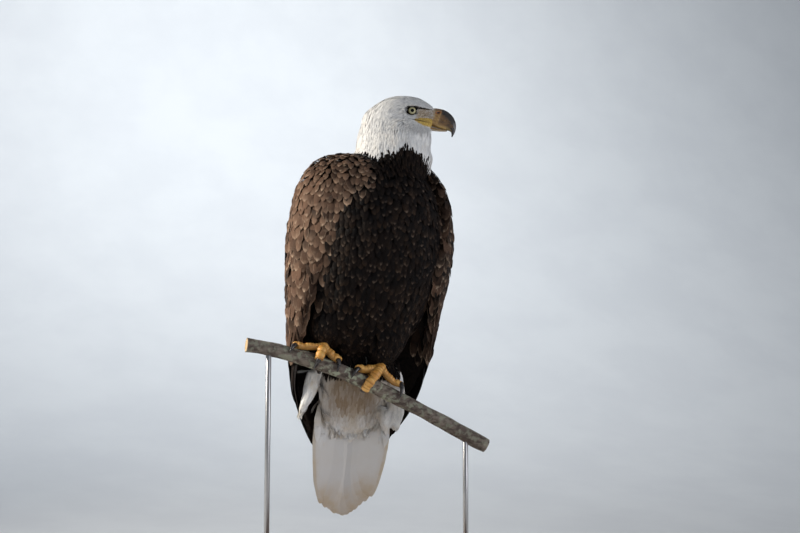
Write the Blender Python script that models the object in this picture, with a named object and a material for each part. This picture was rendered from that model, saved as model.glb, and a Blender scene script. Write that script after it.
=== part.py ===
"""Bald eagle, life size, gripping a cut length of branch on a plain display stand.

Metres, +Z up. The floor is z = 0 and the stand's base is centred on the origin. The bird
faces -Y, so its left side is +X, and its head is turned to its left. Sizes in the tables
are millimetres in the bird's own frame: x to its left, f forward and z up, from a datum
between the feet.
"""

import math

import bmesh
import bpy
import numpy as np
from mathutils import Matrix, Vector

MM = 0.001
GAP = 0.4 * MM  # clearance between neighbouring pieces
FLAT_ANGLE = math.radians(1.2)  # faces closer to one plane than this are merged

# Driving dimensions
DATUM = 390 * MM  # the tables' z = 0, between the feet, above the floor
PERCH_RADIUS = 13.5 * MM
PERCH_HALF_LENGTH = 232 * MM
PERCH_SIDES = 12
PERCH_DROP = -28 * MM  # the branch's axis under the middle of the body, from the datum
PERCH_SLOPE = (-0.436, -0.435, 0.9)  # rise for x, x squared and x cubed, in metres
SWAY = ((-180, -15), (200, 0), (290, -2), (370, -8), (400, -11))  # z, sideways bend
SHOULDER_TWIST = math.radians(30)  # the shoulders follow the head round to the left
HEAD_PLACE = (62, 78, 476)  # between the eyes
HEAD_YAW = math.radians(74)  # turned to its left from straight ahead
HEAD_PITCH = math.radians(5)  # bill below level
FOOT_X = {"right": -97, "left": 8}  # where each foot grips, along the branch
TOE_RADIUS = 8.2
SIDES = (("right", -1), ("left", 1))
BASE_SIZE = (500 * MM, 400 * MM, 24 * MM)
BASE_CORNER = 60 * MM
BASE_EDGE = ((1, 0), (0, 1.5), (0, 19), (1.6, 22.4), (5, 24))  # inset, height
ROD_RADIUS = 5 * MM
FLANGE_RADIUS = 15 * MM
ROD_X = (-190 * MM, 190 * MM)

COLOURS = {
    "white_plumage": ((0.80, 0.78, 0.75), 0.8),
    "brown_plumage": ((0.075, 0.048, 0.036), 0.8),
    "wing_plumage": ((0.120, 0.075, 0.050), 0.8),
    "bill_horn": ((0.55, 0.36, 0.10), 0.35),
    "foot_skin": ((0.80, 0.48, 0.08), 0.5),
    "talon_horn": ((0.015, 0.014, 0.015), 0.3),
    "eye": ((0.66, 0.62, 0.44), 0.08),
    "bark": ((0.20, 0.16, 0.13), 0.9),
    "stand_wood": ((0.22, 0.13, 0.07), 0.45),
    "stand_steel": ((0.30, 0.30, 0.31), 0.35),
}


# ---------------------------------------------------------------- frames


def place(x, f, z):
    """A point of the bird's frame, given in millimetres, in the model's frame."""
    return Vector((x * MM, -f * MM, DATUM + z * MM))


def swayed(x, f, z):
    """The same for the trunk and wings, whose two ends bend a little to its right."""
    return place(x + float(np.interp(z, *zip(*SWAY))), f, z)


def head_frame():
    """Turns head coordinates (forward, to its right, up; metres) into the model's."""
    forward = Vector((math.sin(HEAD_YAW), -math.cos(HEAD_YAW), 0))
    right = forward.cross(Vector((0, 0, 1)))
    dip = Matrix.Rotation(-HEAD_PITCH, 3, right)
    axes = Matrix((dip @ forward, right, dip @ Vector((0, 0, 1)))).transposed()
    return Matrix.Translation(place(*HEAD_PLACE)) @ axes.to_4x4()


def perch_point(x):
    """The branch's axis at this distance (metres) to the bird's left."""
    kink = 2.2 * MM * math.sin(x * 34)
    rise = sum(share * x ** (power + 1) for power, share in enumerate(PERCH_SLOPE))
    return Vector((x, kink, DATUM + PERCH_DROP + rise))


def perch_direction(x):
    return (perch_point(x + MM) - perch_point(x - MM)).normalized()


# ---------------------------------------------------------------- mesh tools


def through(rows, count):
    """Rows of numbers read at even steps along a smooth curve through them."""
    rows = np.array(rows, float)
    padded = np.vstack([2 * rows[0] - rows[1], rows, 2 * rows[-1] - rows[-2]])
    found = []
    for t in np.linspace(0, len(rows) - 1, count):
        i = min(int(t), len(rows) - 2)
        u = t - i
        a, b, c, d = padded[i : i + 4]
        found.append(
            0.5 * (2 * b + (c - a) * u + (2 * a - 5 * b + 4 * c - d) * u * u
                   + (3 * b - a - 3 * c + d) * u**3)
        )
    return np.array(found).tolist()


def rounded(value, power):
    return math.copysign(abs(value) ** (2 / power), value)


def section(half_width, front, back, count, power=2.2):
    """(sideways, forward) of points round a rounded section, deeper on one side."""
    points = []
    for k in range(count):
        angle = 2 * math.pi * k / count
        reach = front if math.cos(angle) > 0 else back
        points.append(
            (
                half_width * rounded(math.sin(angle), power),
                reach * rounded(math.cos(angle), power),
            )
        )
    return points


def loft(name, rings, material):
    """A closed solid over a run of rings with equal counts of points."""
    mesh = bmesh.new()
    loops = [[mesh.verts.new(point) for point in ring] for ring in rings]
    for first, second in zip(loops, loops[1:]):
        for i in range(len(first)):
            j = (i + 1) % len(first)
            mesh.faces.new((first[i], first[j], second[j], second[i]))
    mesh.faces.new(list(reversed(loops[0])))
    mesh.faces.new(loops[-1])
    return as_object(name, mesh, material)


def as_object(name, mesh, material):
    """Triangles from the start, so that a bent face is the same in every copy and cut."""
    bmesh.ops.triangulate(mesh, faces=mesh.faces)
    bmesh.ops.recalc_face_normals(mesh, faces=mesh.faces)
    data = bpy.data.meshes.new(name)
    mesh.to_mesh(data)
    mesh.free()
    data.materials.append(finish(material))
    data.shade_smooth()
    data.set_sharp_from_angle(angle=math.radians(50))
    made = bpy.data.objects.new(name, data)
    bpy.context.scene.collection.objects.link(made)
    return made


def finish(slot):
    """The material of this name, made when it is first wanted."""
    found = bpy.data.materials.get(slot)
    if found:
        return found
    colour, roughness = COLOURS[slot]
    made = bpy.data.materials.new(slot)
    made.use_nodes = True
    shader = made.node_tree.nodes["Principled BSDF"]
    shader.inputs["Base Color"].default_value = (*colour, 1)
    shader.inputs["Roughness"].default_value = roughness
    shader.inputs["Metallic"].default_value = 1.0 if slot == "stand_steel" else 0.0
    return made


def tube(name, path, radii, count, material, flat=1.0):
    """A round bar along a path, each ring square to it. flat squeezes it upwards."""
    rings = []
    for i, point in enumerate(path):
        along = (path[min(i + 1, len(path) - 1)] - path[max(i - 1, 0)]).normalized()
        side = along.cross(Vector((0, 0, 1)))
        if side.length < 0.2:
            side = Vector((1, 0, 0))
        side.normalize()
        over = side.cross(along)
        rings.append([
            point + radii[i] * (side * math.cos(a) + over * math.sin(a) * flat)
            for a in (2 * math.pi * k / count for k in range(count))
        ])
    return loft(name, rings, material)


def grown(obj, distance):
    """A helper copy of a solid, swollen by this distance."""
    copy = bpy.data.objects.new(obj.name + "_grown", obj.data.copy())
    bpy.context.scene.collection.objects.link(copy)
    for vertex in copy.data.vertices:
        vertex.co += vertex.normal * distance
    return copy


def combine(target, tool, operation):
    """Joins tool to target, or cuts it away, and keeps target's largest body."""
    modifier = target.modifiers.new("combine", "BOOLEAN")
    modifier.operation = operation
    modifier.object = tool
    graph = bpy.context.evaluated_depsgraph_get()
    done = bpy.data.meshes.new_from_object(target.evaluated_get(graph))
    target.modifiers.clear()
    target.data = done
    keep_largest(target)


def keep_largest(obj):
    """Drops the crumbs that a cut can leave."""
    mesh = bmesh.new()
    mesh.from_mesh(obj.data)
    left, bodies = set(mesh.faces), []
    while left:
        todo = [left.pop()]
        body = list(todo)
        while todo:
            for edge in todo.pop().edges:
                for face in edge.link_faces:
                    if face in left:
                        left.remove(face)
                        todo.append(face)
                        body.append(face)
        bodies.append(body)
    bodies.sort(key=lambda faces: sum(face.calc_area() for face in faces))
    extra = [face for body in bodies[:-1] for face in body]
    if extra:
        bmesh.ops.delete(mesh, geom=extra, context="FACES")
        loose = [v for v in mesh.verts if not v.link_faces]
        bmesh.ops.delete(mesh, geom=loose, context="VERTS")
        mesh.to_mesh(obj.data)
    mesh.free()


def tidy(obj):
    """Merges the flat scraps that the cuts leave round their edges."""
    mesh = bmesh.new()
    mesh.from_mesh(obj.data)
    bmesh.ops.dissolve_limit(
        mesh,
        angle_limit=FLAT_ANGLE,
        verts=mesh.verts,
        edges=mesh.edges,
        use_dissolve_boundaries=False,
    )
    bmesh.ops.triangulate(mesh, faces=mesh.faces)
    mesh.to_mesh(obj.data)
    mesh.free()


def clear_of(piece, *neighbours, gap=GAP):
    """Cuts a piece back so that it meets these neighbours with a thin gap."""
    for neighbour in neighbours:
        tool = grown(neighbour, gap)
        combine(piece, tool, "DIFFERENCE")
        bpy.data.objects.remove(tool)


def joined(piece, *others):
    """One body of several that overlap."""
    for other in others:
        combine(piece, other, "UNION")
        bpy.data.objects.remove(other)
    return piece


# ---------------------------------------------------------------- trunk, neck and head

# z, forward, half width, reach in front, reach behind
TRUNK = [
    (8, -52, 22, 14, 20),
    (22, -46, 52, 30, 44),
    (50, -34, 84, 60, 76),
    (92, -22, 110, 91, 96),
    (152, -7, 125, 115, 106),
    (215, 11, 130, 124, 110),
    (278, 27, 127, 122, 107),
    (326, 37, 115, 108, 96),
    (360, 43, 95, 86, 80),
    (382, 46, 70, 58, 58),
    (395, 47, 38, 34, 32),
]

# z, x, forward, half width across the turned head's line, reach in front, reach behind
NECK = [
    (338, 22, 56, 58, 60, 58),
    (378, 30, 66, 60, 74, 75),
    (406, 34, 71, 56, 63, 76),
    (430, 35, 74, 49, 76, 75),
    (453, 35, 76, 42, 70, 68),
]

# head frame: forward, top, bottom, half width
HEAD = [
    (-91, -18, -34, 10),
    (-86, -8, -42, 24),
    (-70, 7.5, -49, 35),
    (-50, 22, -53, 41),
    (-32, 28, -53, 43),
    (-13, 30.2, -50, 41),
    (6, 29.6, -44, 37),
    (20, 25, -38, 30),
    (32, 18.5, -33, 21),
    (41.5, 13.5, -29, 15.5),
]

# head frame: outer edge (forward, up), inner edge (forward, up), half width
UPPER_BILL = [
    ((29, 12.0), (27, -20.0), 14.5),
    ((40, 12.4), (36, -22.4), 13.5),
    ((49, 12.4), (45, -24.4), 12.2),
    ((58.5, 11.2), (54, -26.0), 10.8),
    ((68, 7.2), (62, -27.2), 9.2),
    ((76.5, 0.4), (68.5, -28.0), 7.6),
    ((82.3, -8.6), (73, -28.8), 6.2),
    ((84.8, -18.6), (76.4, -31.0), 4.4),
    ((84.0, -29.5), (77.6, -35.0), 2.7),
    ((79.6, -40.0), (77.8, -39.2), 0.8),
]
LOWER_BILL = [
    ((6, -21.0), (8, -27.0), 13.0),
    ((24, -23.2), (25, -29.2), 12.4),
    ((40, -25.0), (40, -30.2), 10.2),
    ((54, -26.8), (54, -30.4), 7.8),
    ((63, -27.9), (63.5, -30.2), 5.2),
    ((68.4, -28.4), (68.6, -29.8), 2.2),
]
EYE_RADIUS = 11.0 * MM
EYE_PLACE = (0.0, 21.5 * MM, -3.0 * MM)
BROW = [
    (-15, 29, 7.5, 2.2), (-4, 31, 9.8, 4), (8, 28.5, 9.3, 4), (21, 22, 8.2, 3.4), (31, 16, 8, 2)
]


def make_trunk():
    rings = []
    for z, f, half, front, back in through(TRUNK, 16):
        outline = section(half, front, back, 22)
        rings.append([swayed(x, f + forward, z) for x, forward in outline])
    return loft("trunk", rings, "brown_plumage")


def make_neck():
    """Rings that turn with the head's line, so the nape is opposite the bill."""
    turn = math.radians(90) - HEAD_YAW
    rings = []
    for z, x, f, half, front, back in through(NECK, 7):
        ring = []
        for side, forward in section(half, front, back, 16):
            along = forward * math.cos(turn) + side * math.sin(turn)
            across = forward * math.sin(turn) - side * math.cos(turn)
            ring.append(place(x + along, f + across, z))
        rings.append(ring)
    return loft("neck", rings, "white_plumage")


def make_head(frame):
    rings = []
    for f, top, bottom, half in through(HEAD, 11):
        middle = top * 0.42 + bottom * 0.58
        outline = section(half, top - middle, middle - bottom, 16, power=2.25)
        rings.append(
            [frame @ Vector((f * MM, x * MM, (middle + u) * MM)) for x, u in outline]
        )
    return loft("head", rings, "white_plumage")


def add_brows(head, frame):
    for side in (-1, 1):
        rows = through(BROW, 5)
        path = [frame @ Vector((f * MM, side * x * MM, u * MM)) for f, x, u, _ in rows]
        brow = tube("brow", path, [row[3] * MM for row in rows], 6, "white_plumage", flat=0.7)
        joined(head, brow)


def edge_ring(frame, outer, inner, half, count):
    """A bill section between its outer and inner edges, squarer at the inner one."""
    outer, inner = Vector(outer) * MM, Vector(inner) * MM
    middle, reach = (outer + inner) / 2, (outer - inner) / 2
    ring = []
    for k in range(count):
        angle = 2 * math.pi * k / count
        c, s = math.cos(angle), math.sin(angle)
        up = rounded(c, 2.0 if c > 0 else 2.9)
        side = rounded(s, 2.0 if c > 0 else 2.9) * (1.0 - 0.12 * max(c, 0))
        at = middle + reach * up
        ring.append(frame @ Vector((at.x, side * half * MM, at.y)))
    return ring


def make_bill(name, frame, table, rings, count):
    flat = [(*outer, *inner, half) for outer, inner, half in table]
    made = [
        edge_ring(frame, row[0:2], row[2:4], row[4], count) for row in through(flat, rings)
    ]
    return loft(name, made, "bill_horn")


def make_ball(name, frame, centre, radius, material):
    mesh = bmesh.new()
    bmesh.ops.create_uvsphere(mesh, u_segments=12, v_segments=7, radius=radius)
    bmesh.ops.rotate(mesh, verts=mesh.verts, matrix=Matrix.Rotation(math.pi / 2, 3, "X"))
    bmesh.ops.translate(mesh, verts=mesh.verts, vec=centre)
    bmesh.ops.transform(mesh, verts=mesh.verts, matrix=frame)
    return as_object(name, mesh, material)


def make_head_parts(trunk):
    """Head, neck, both parts of the bill and the eyes, each clear of the others."""
    frame = head_frame()
    head = make_head(frame)
    neck = make_neck()
    clear_of(neck, head, trunk)
    add_brows(head, frame)
    upper = make_bill("bill_upper", frame, UPPER_BILL, 12, 12)
    lower = make_bill("bill_lower", frame, LOWER_BILL, 7, 10)
    clear_of(lower, upper)
    clear_of(neck, upper, lower)
    clear_of(head, upper, lower)
    for word, outwards in SIDES:
        side = -outwards  # the head's own axes count to its right
        centre = Vector((EYE_PLACE[0], side * EYE_PLACE[1], EYE_PLACE[2]))
        eye = make_ball(f"eye_{word}", frame, centre, EYE_RADIUS, "eye")
        opening = centre + Vector((1.5 * MM, side * 13.5 * MM, -0.5 * MM))
        socket = make_ball("socket", frame, opening, 10.5 * MM, "eye")
        combine(head, socket, "DIFFERENCE")
        bpy.data.objects.remove(socket)
        clear_of(head, eye)
    return neck


# ---------------------------------------------------------------- wings and tail

# z, forward, half width, reach in front, reach behind, angle of the front edge, angle of
# the rear edge (degrees round the body from straight ahead), thickness
WING = [
    (394, 46, 60, 28, 26, 58, 116, 14),
    (386, 45, 98, 56, 50, 46, 130, 30),
    (371, 44, 118, 78, 72, 39, 142, 40),
    (347, 41, 135, 97, 92, 36, 151, 46),
    (315, 35, 149, 108, 104, 39, 158, 50),
    (250, 20, 160, 112, 113, 45, 166, 52),
    (186, 3, 159, 106, 113, 46, 171, 51),
    (131, -12, 152, 98, 110, 52, 175, 49),
    (76, -26, 144, 84, 102, 61, 177, 44),
    (22, -40, 137, 70, 89, 72, 178, 30),
    (-33, -55, 124, 54, 70, 83, 178, 16),
    (-66, -65, 110, 43, 57, 89, 178, 12),
    (-104, -77, 92, 33, 44, 93, 178, 10),
    (-150, -92, 73, 20, 29, 97, 178, 8),
    (-184, -103, 46, 12, 21, 100, 178, 5),
]
TWIST_FROM, TWIST_TO = 186, 352  # heights over which the twist grows

# z, x, forward, half width, thickness, arch
TAIL = [
    (22, -4, -64, 32, 22, 2),
    (-12, -6, -72, 48, 17, 5),
    (-48, -8, -80, 64, 13, 9),
    (-88, -10, -89, 73, 10, 12),
    (-130, -11, -99, 74, 8, 14),
    (-168, -12, -108, 70, 7, 13),
    (-204, -14, -116, 64, 6, 11),
    (-234, -14, -123, 54, 5, 8),
    (-256, -15, -128, 38, 5, 4),
    (-273, -10, -132, 12, 4, 1),
]

# z, x, forward, half width, reach in front, reach behind
UNDERTAIL = [
    (38, 0, -34, 46, 20, 22),
    (12, -2, -40, 70, 26, 32),
    (-24, -4, -53, 76, 24, 30),
    (-60, -7, -69, 74, 17, 22),
    (-98, -9, -84, 67, 9, 13),
    (-124, -10, -95, 52, 4, 6),
]
# x, forward, z, radius along the loose tufts beside it
TUFTS = [
    [
        (-60, -42, 22, 16),
        (-92, -43, 2, 16),
        (-98, -45, -26, 16),
        (-105, -47, -52, 12),
        (-115, -49, -72, 6.5),
        (-122, -51, -84, 2.5),
    ],
    [
        (54, -42, 20, 16),
        (66, -44, -20, 16),
        (71, -46, -54, 15),
        (70, -48, -82, 13),
        (69, -50, -102, 8),
    ],
    [
        (44, -50, -62, 16),
        (47, -53, -90, 13),
        (48, -56, -114, 6),
    ],
]


def wing_ring(row, side, count):
    """A crescent round the body: out along its outer face and back along its inner."""
    z, f, half, front, back, first, last, thickness = row
    grown_share = min(max((z - TWIST_FROM) / (TWIST_TO - TWIST_FROM), 0), 1)
    twist = SHOULDER_TWIST * grown_share
    outer, inner = [], []
    for k in range(count + 1):
        share = k / count
        angle = math.radians(first + (last - first) * share) + side * twist * (1 - share)
        reach = front if math.cos(angle) > 0 else back
        x, forward = half * math.sin(angle), reach * math.cos(angle)
        inward = Vector((-x / half**2, -forward / reach**2)).normalized()
        swell = 0.16 + 0.84 * math.sin(math.pi * min(share * 1.05, 1)) ** 0.6
        depth = thickness * swell
        outer.append(swayed(side * x, f + forward, z))
        inner.append(swayed(side * (x + inward.x * depth), f + forward + inward.y * depth, z))
    return outer + inner[::-1]


def make_wing(name, side):
    rings = [wing_ring(row, side, 7) for row in through(WING, 17)]
    return loft(name, rings, "wing_plumage")


def make_tail():
    rings = []
    for z, x, f, half, thickness, arch in through(TAIL, 12):
        under, over = [], []
        for u in np.linspace(-1, 1, 8).tolist():
            rise = arch * u * u
            depth = thickness * (0.5 - 0.28 * abs(u) ** 3)
            under.append(place(x + half * u, f + rise + depth, z))
            over.append(place(x + half * u, f + rise - depth, z))
        rings.append(under + over[::-1])
    return loft("tail", rings, "white_plumage")


def make_undertail():
    rings = []
    for z, x, f, half, front, back in through(UNDERTAIL, 8):
        outline = section(half, front, back, 11)
        rings.append([place(x + side, f + forward, z) for side, forward in outline])
    made = loft("undertail_coverts", rings, "white_plumage")
    for table in TUFTS:
        rows = through(table, 6)
        path = [place(x, f, z) for x, f, z, _ in rows]
        joined(made, tube("tuft", path, [row[3] * MM for row in rows], 6, "white_plumage"))
    return made


# ---------------------------------------------------------------- legs and feet

HIP = (50, -4, 165)  # x outwards, forward, z
ANKLE_HEIGHT = {"right": 43, "left": 48}  # where the feathers end, above the axis
# share of the way from hip to ankle, radius
THIGH = [(0, 34), (0.22, 50), (0.45, 52), (0.68, 44), (0.85, 33), (0.95, 25), (1, 15)]

# offset of its end along the branch, angle of its end round it, thickness, talon length;
# rise lifts the end of the left foot's outer toe off the bark
TOES = {
    "inner": {
        "along": {"right": 30, "left": 37},
        "end": {"right": 38, "left": 40},
        "thick": 1.0,
        "claw": 32,
    },
    "middle": {
        "along": {"right": -4, "left": 13},
        "end": {"right": 82, "left": 132},
        "thick": 1.2,
        "claw": 31,
    },
    "outer": {
        "along": {"right": -48, "left": -42},
        "end": {"right": 27, "left": 27},
        "thick": 0.9,
        "claw": 27,
        "rise": {"right": 0, "left": 8},
    },
    "hind": {
        "along": {"right": 8, "left": 8},
        "end": {"right": -104, "left": -104},
        "thick": 1.0,
        "claw": 40,
    },
}
NO_RISE = {"right": 0, "left": 0}
HUB_HEIGHT = {"right": 32, "left": 38}  # the toes' roots above the branch's axis
SHANK_LENGTH = 70


def grip_point(foot_x, along, angle, reach):
    """A point round the branch: along its axis from the foot, angle from straight up."""
    x = foot_x * MM + along * MM
    centre, axis = perch_point(x), perch_direction(x)
    forward = Vector((0, -1, 0))
    up = forward.cross(axis) if axis.x < 0 else axis.cross(forward) * -1
    up = up.normalized() if up.z > 0 else -up.normalized()
    return centre + reach * MM * (up * math.cos(angle) + forward * math.sin(angle))


def toe_at(word, toe_name, side, share):
    """Where a toe's middle is at this share of its length, and its thickness there."""
    toe = TOES[toe_name]
    end = toe["end"][word]
    angle = 8 * math.copysign(1, end) * (1 - share) + end * share
    along = -side * toe["along"][word] * math.sin(share * math.pi / 2)
    joint = 0.5 + 0.5 * math.cos(share * 3 * 2 * math.pi)
    thick = TOE_RADIUS * toe["thick"] * (1.0 - 0.14 * share) * (0.88 + 0.14 * joint)
    clear = PERCH_RADIUS / MM + thick + toe.get("rise", NO_RISE)[word] * share
    reach = clear + (HUB_HEIGHT[word] - clear) * max(0.0, 1 - share / 0.55) ** 1.5
    return grip_point(FOOT_X[word], along, math.radians(angle), reach), thick


def make_toe(word, toe_name, side):
    """A padded toe that bends over the branch. side is 1 on the left."""
    steps = 8
    line = [toe_at(word, toe_name, side, k / (steps - 1)) for k in range(steps)]
    path, radii = zip(*((at, thick * MM) for at, thick in line))
    return tube(f"toe_{word}_{toe_name}", path, radii, 8, "foot_skin")


def make_talon(word, toe_name, side):
    """A hooked cone that leaves the toe's end and curls on round the branch."""
    toe, steps = TOES[toe_name], 6
    way = math.copysign(1, toe["end"][word])
    run = -side * toe["along"][word]
    bark = PERCH_RADIUS / MM
    thick = toe_at(word, toe_name, side, 1.0)[1] + toe.get("rise", NO_RISE)[word]
    path, radii = [], []
    for k in range(steps):
        share = k / (steps - 1)
        angle = toe["end"][word] + way * (toe["claw"] * 2.6 * share - 7)
        along = run * (1 + 0.16 * share * (2 - share))
        reach = (bark + thick * 0.96) * (1 - share) + (bark + 1.9) * share
        path.append(grip_point(FOOT_X[word], along, math.radians(angle), reach))
        radii.append((4.9 * (1 - share) ** 0.8 + 0.35) * MM)
    return tube(f"talon_{word}_{toe_name}", path, radii, 6, "talon_horn")


def make_leg(word, side, perch, trunk):
    """Feathered thigh, bare shank, four toes and their talons."""
    foot_x = FOOT_X[word]
    hip = place(side * HIP[0], HIP[1], HIP[2])
    pad = grip_point(foot_x, 0, 0.0, HUB_HEIGHT[word] - 6)
    ankle = grip_point(foot_x, 0, 0.0, ANKLE_HEIGHT[word])
    top = pad + (hip - pad).normalized() * SHANK_LENGTH * MM
    path = [pad.lerp(top, share) for share in (0, 0.12, 0.3, 0.5, 0.75, 1)]
    radii = [10.5 * MM, 10.5 * MM, 8.6 * MM, 8 * MM, 9 * MM, 10 * MM]
    shank = tube(f"shank_{word}", path, radii, 10, "foot_skin")
    whole_shank = grown(shank, 0)
    clear_of(shank, perch, trunk)

    rings = []
    for share, radius in through(THIGH, 9):
        outline = section(radius, radius * 1.05, radius, 12, power=2.0)
        centre = hip.lerp(ankle, share)
        rings.append(
            [centre + Vector((across, -forward, 0)) * MM for across, forward in outline]
        )
    thigh = loft(f"thigh_{word}", rings, "brown_plumage")

    whole_thigh = grown(thigh, 0)
    whole_toes = []
    for toe_name in TOES:
        made, claw = make_toe(word, toe_name, side), make_talon(word, toe_name, side)
        copies = [grown(made, 0), grown(claw, 0)]
        clear_of(claw, made, perch, *whole_toes)
        clear_of(made, whole_shank, perch, *whole_toes[::2])
        whole_toes += copies
    clear_of(thigh, trunk, perch, whole_shank, *whole_toes)
    return whole_thigh, whole_toes, whole_shank


# ---------------------------------------------------------------- branch and stand


def make_perch():
    """The branch: a little oval, with low swellings where twigs once grew."""
    rings = []
    for x in np.linspace(-PERCH_HALF_LENGTH, PERCH_HALF_LENGTH, 17).tolist():
        centre, axis = perch_point(x), perch_direction(x)
        forward = Vector((0, -1, 0))
        up = axis.cross(forward).normalized()
        up = up if up.z > 0 else -up
        swell = 1.0 + 0.05 * math.sin(x * 41) + 0.03 * math.sin(x * 97)
        edge = max(0.0, abs(x) - (PERCH_HALF_LENGTH - 2 * MM)) / (2 * MM)
        radius = PERCH_RADIUS * (swell if abs(x) > 0.09 else 1.0) * (1 - 0.07 * edge)
        rings.append([
            centre + radius * (forward * math.cos(a) + up * math.sin(a))
            for a in (2 * math.pi * k / PERCH_SIDES for k in range(PERCH_SIDES))
        ])
    return loft("perch_branch", rings, "bark")


def make_base():
    """A flat plinth with rounded corners and an eased top edge."""
    width, depth, _ = BASE_SIZE
    rings = []
    for inset, z in BASE_EDGE:
        ring = []
        for corner in range(4):
            sx, sy = ((1, 1), (-1, 1), (-1, -1), (1, -1))[corner]
            centre = Vector(
                (sx * (width / 2 - BASE_CORNER), sy * (depth / 2 - BASE_CORNER), z * MM)
            )
            for k in range(5):
                angle = math.radians(90 * corner + 22.5 * k)
                radius = BASE_CORNER - inset * MM
                ring.append(centre + Vector((math.cos(angle), math.sin(angle), 0)) * radius)
        rings.append(ring)
    return loft("stand_base", rings, "stand_wood")


def make_rods(perch):
    for x, word in zip(ROD_X, ("right", "left")):
        at = perch_point(x)
        foot = Vector((x, at.y, BASE_SIZE[2] + GAP))
        rod = tube(f"stand_rod_{word}", [foot, Vector((x, at.y, at.z))],
                   [ROD_RADIUS, ROD_RADIUS], 10, "stand_steel")
        clear_of(rod, perch)
        flange_at = (GAP, 4.5 * MM, 6 * MM)
        radii = (FLANGE_RADIUS, FLANGE_RADIUS, FLANGE_RADIUS - 2 * MM)
        flange = tube(f"stand_flange_{word}",
                      [Vector((x, at.y, BASE_SIZE[2] + h)) for h in flange_at],
                      radii, 12, "stand_steel")
        clear_of(flange, rod)


# ---------------------------------------------------------------- the whole bird


def main():
    for obj in list(bpy.data.objects):
        bpy.data.objects.remove(obj)
    perch = make_perch()
    make_base()
    make_rods(perch)
    trunk, tail, undertail = make_trunk(), make_tail(), make_undertail()
    whole_trunk, whole_tail, whole_undertail = (
        grown(piece, 0) for piece in (trunk, tail, undertail)
    )
    clear_of(trunk, perch)
    clear_of(tail, whole_trunk)
    neck = make_head_parts(whole_trunk)
    legs = [make_leg(word, side, perch, whole_trunk) for word, side in SIDES]
    thighs, toes, shanks = zip(*legs)
    whole_toes = [piece for foot in toes for piece in foot]
    clear_of(trunk, *whole_toes)
    clear_of(undertail, whole_trunk, perch, *thighs, *shanks, *whole_toes)
    clear_of(undertail, whole_tail, gap=3 * GAP)
    for word, side in SIDES:
        wing = make_wing(f"wing_{word}", side)
        clear_of(wing, whole_trunk, neck, whole_tail, whole_undertail, perch)
        clear_of(wing, *thighs, *whole_toes)
    for helper in (whole_trunk, whole_tail, whole_undertail, *thighs, *shanks, *whole_toes):
        bpy.data.objects.remove(helper)
    for obj in bpy.data.objects:
        tidy(obj)


main()
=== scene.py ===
# %% [markdown]
# # A perched bald eagle
# The bird grips a short cut branch that two steel rods hold over a wooden base. The solids
# of the model give the outline and the weight. This script dresses them: a skin, a coat of
# real feather vanes, a horny bill, scaly feet, bark, walnut and steel. Sizes are metres in
# the mesh, but tables are millimetres in the bird's own frame: x to its left, f forward, z
# up from a datum between the feet.

import math

import bmesh
import bpy
import numpy as np
from mathutils import Matrix, Vector
from mathutils.bvhtree import BVHTree
from mathutils.interpolate import poly_3d_calc
from mathutils.kdtree import KDTree


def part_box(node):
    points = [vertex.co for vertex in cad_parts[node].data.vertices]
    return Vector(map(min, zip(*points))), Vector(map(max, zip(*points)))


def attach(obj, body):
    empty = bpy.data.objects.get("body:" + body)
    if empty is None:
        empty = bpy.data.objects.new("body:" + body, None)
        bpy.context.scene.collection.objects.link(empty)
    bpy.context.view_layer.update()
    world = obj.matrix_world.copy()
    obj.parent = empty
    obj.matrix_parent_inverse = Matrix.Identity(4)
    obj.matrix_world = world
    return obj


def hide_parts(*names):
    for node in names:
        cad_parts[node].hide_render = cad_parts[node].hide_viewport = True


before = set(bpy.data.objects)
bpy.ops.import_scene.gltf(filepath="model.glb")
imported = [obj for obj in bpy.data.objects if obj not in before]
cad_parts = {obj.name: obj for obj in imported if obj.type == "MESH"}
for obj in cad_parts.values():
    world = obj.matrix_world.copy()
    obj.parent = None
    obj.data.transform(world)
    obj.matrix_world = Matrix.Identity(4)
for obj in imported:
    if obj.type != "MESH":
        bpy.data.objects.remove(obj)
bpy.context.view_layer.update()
MM = 0.001
DATUM = 390 * MM
SIDES = (("right", -1), ("left", 1))
chance = np.random.default_rng(11)


def stacked(*numbers):
    """Numbers or arrays side by side, as the last axis of one array."""
    return np.stack(np.broadcast_arrays(*numbers), -1)


def place(x, f, z):
    """A point of the bird's frame in the model's frame. Takes numbers or arrays."""
    return stacked(x * MM, -f * MM, DATUM + z * MM)


def height_of(points):
    return (points[:, 2] - DATUM) / MM


print("solids loaded:", len(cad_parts))

# %% [markdown]
# ## Camera, light and room
# The bird is seen from a little below its breast, through a long lens, so the shapes stay
# flat and true. One soft light stands in for a low sun over its right shoulder, a wide dim
# one fills the breast, a third picks out the back and a fourth washes the wall. A floor that
# curves up into a wall has no horizon line to fight with the bird.

# %% Camera, light and room
AIM = Vector((0.0540, -0.0260, 0.5817))
LENS_BACK = Vector((-0.27296, -0.95191, -0.13917))
CAMERA_DISTANCE, FRAME_WIDTH = 3.0, 800 * 1.88e-3
LIGHTS = {  # place, size, watts, colour, target
    "sun_side": ((-2.9, 0.4, 1.5), 0.8, 47, (1.0, 0.92, 0.80), (0, 0, 0.55)),
    "front_fill": ((2.5, -2.2, 0.5), 2.6, 18, (0.97, 0.96, 1.0), (0, 0, 0.55)),
    "back_rim": ((0.9, 2.6, 2.2), 1.6, 7, (0.95, 0.97, 1.0), (0, 0, 0.55)),
    "wall_wash": ((0.6, 1.4, 4.6), 3.0, 70, (0.93, 0.97, 1.0), (0.6, 6.8, 1.2)),
}


def look(name, data, at, target):
    obj = bpy.data.objects.new(name, data)
    obj.location = at
    obj.rotation_euler = (Vector(target) - Vector(at)).to_track_quat("-Z", "Y").to_euler()
    bpy.context.scene.collection.objects.link(obj)
    return obj


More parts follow.
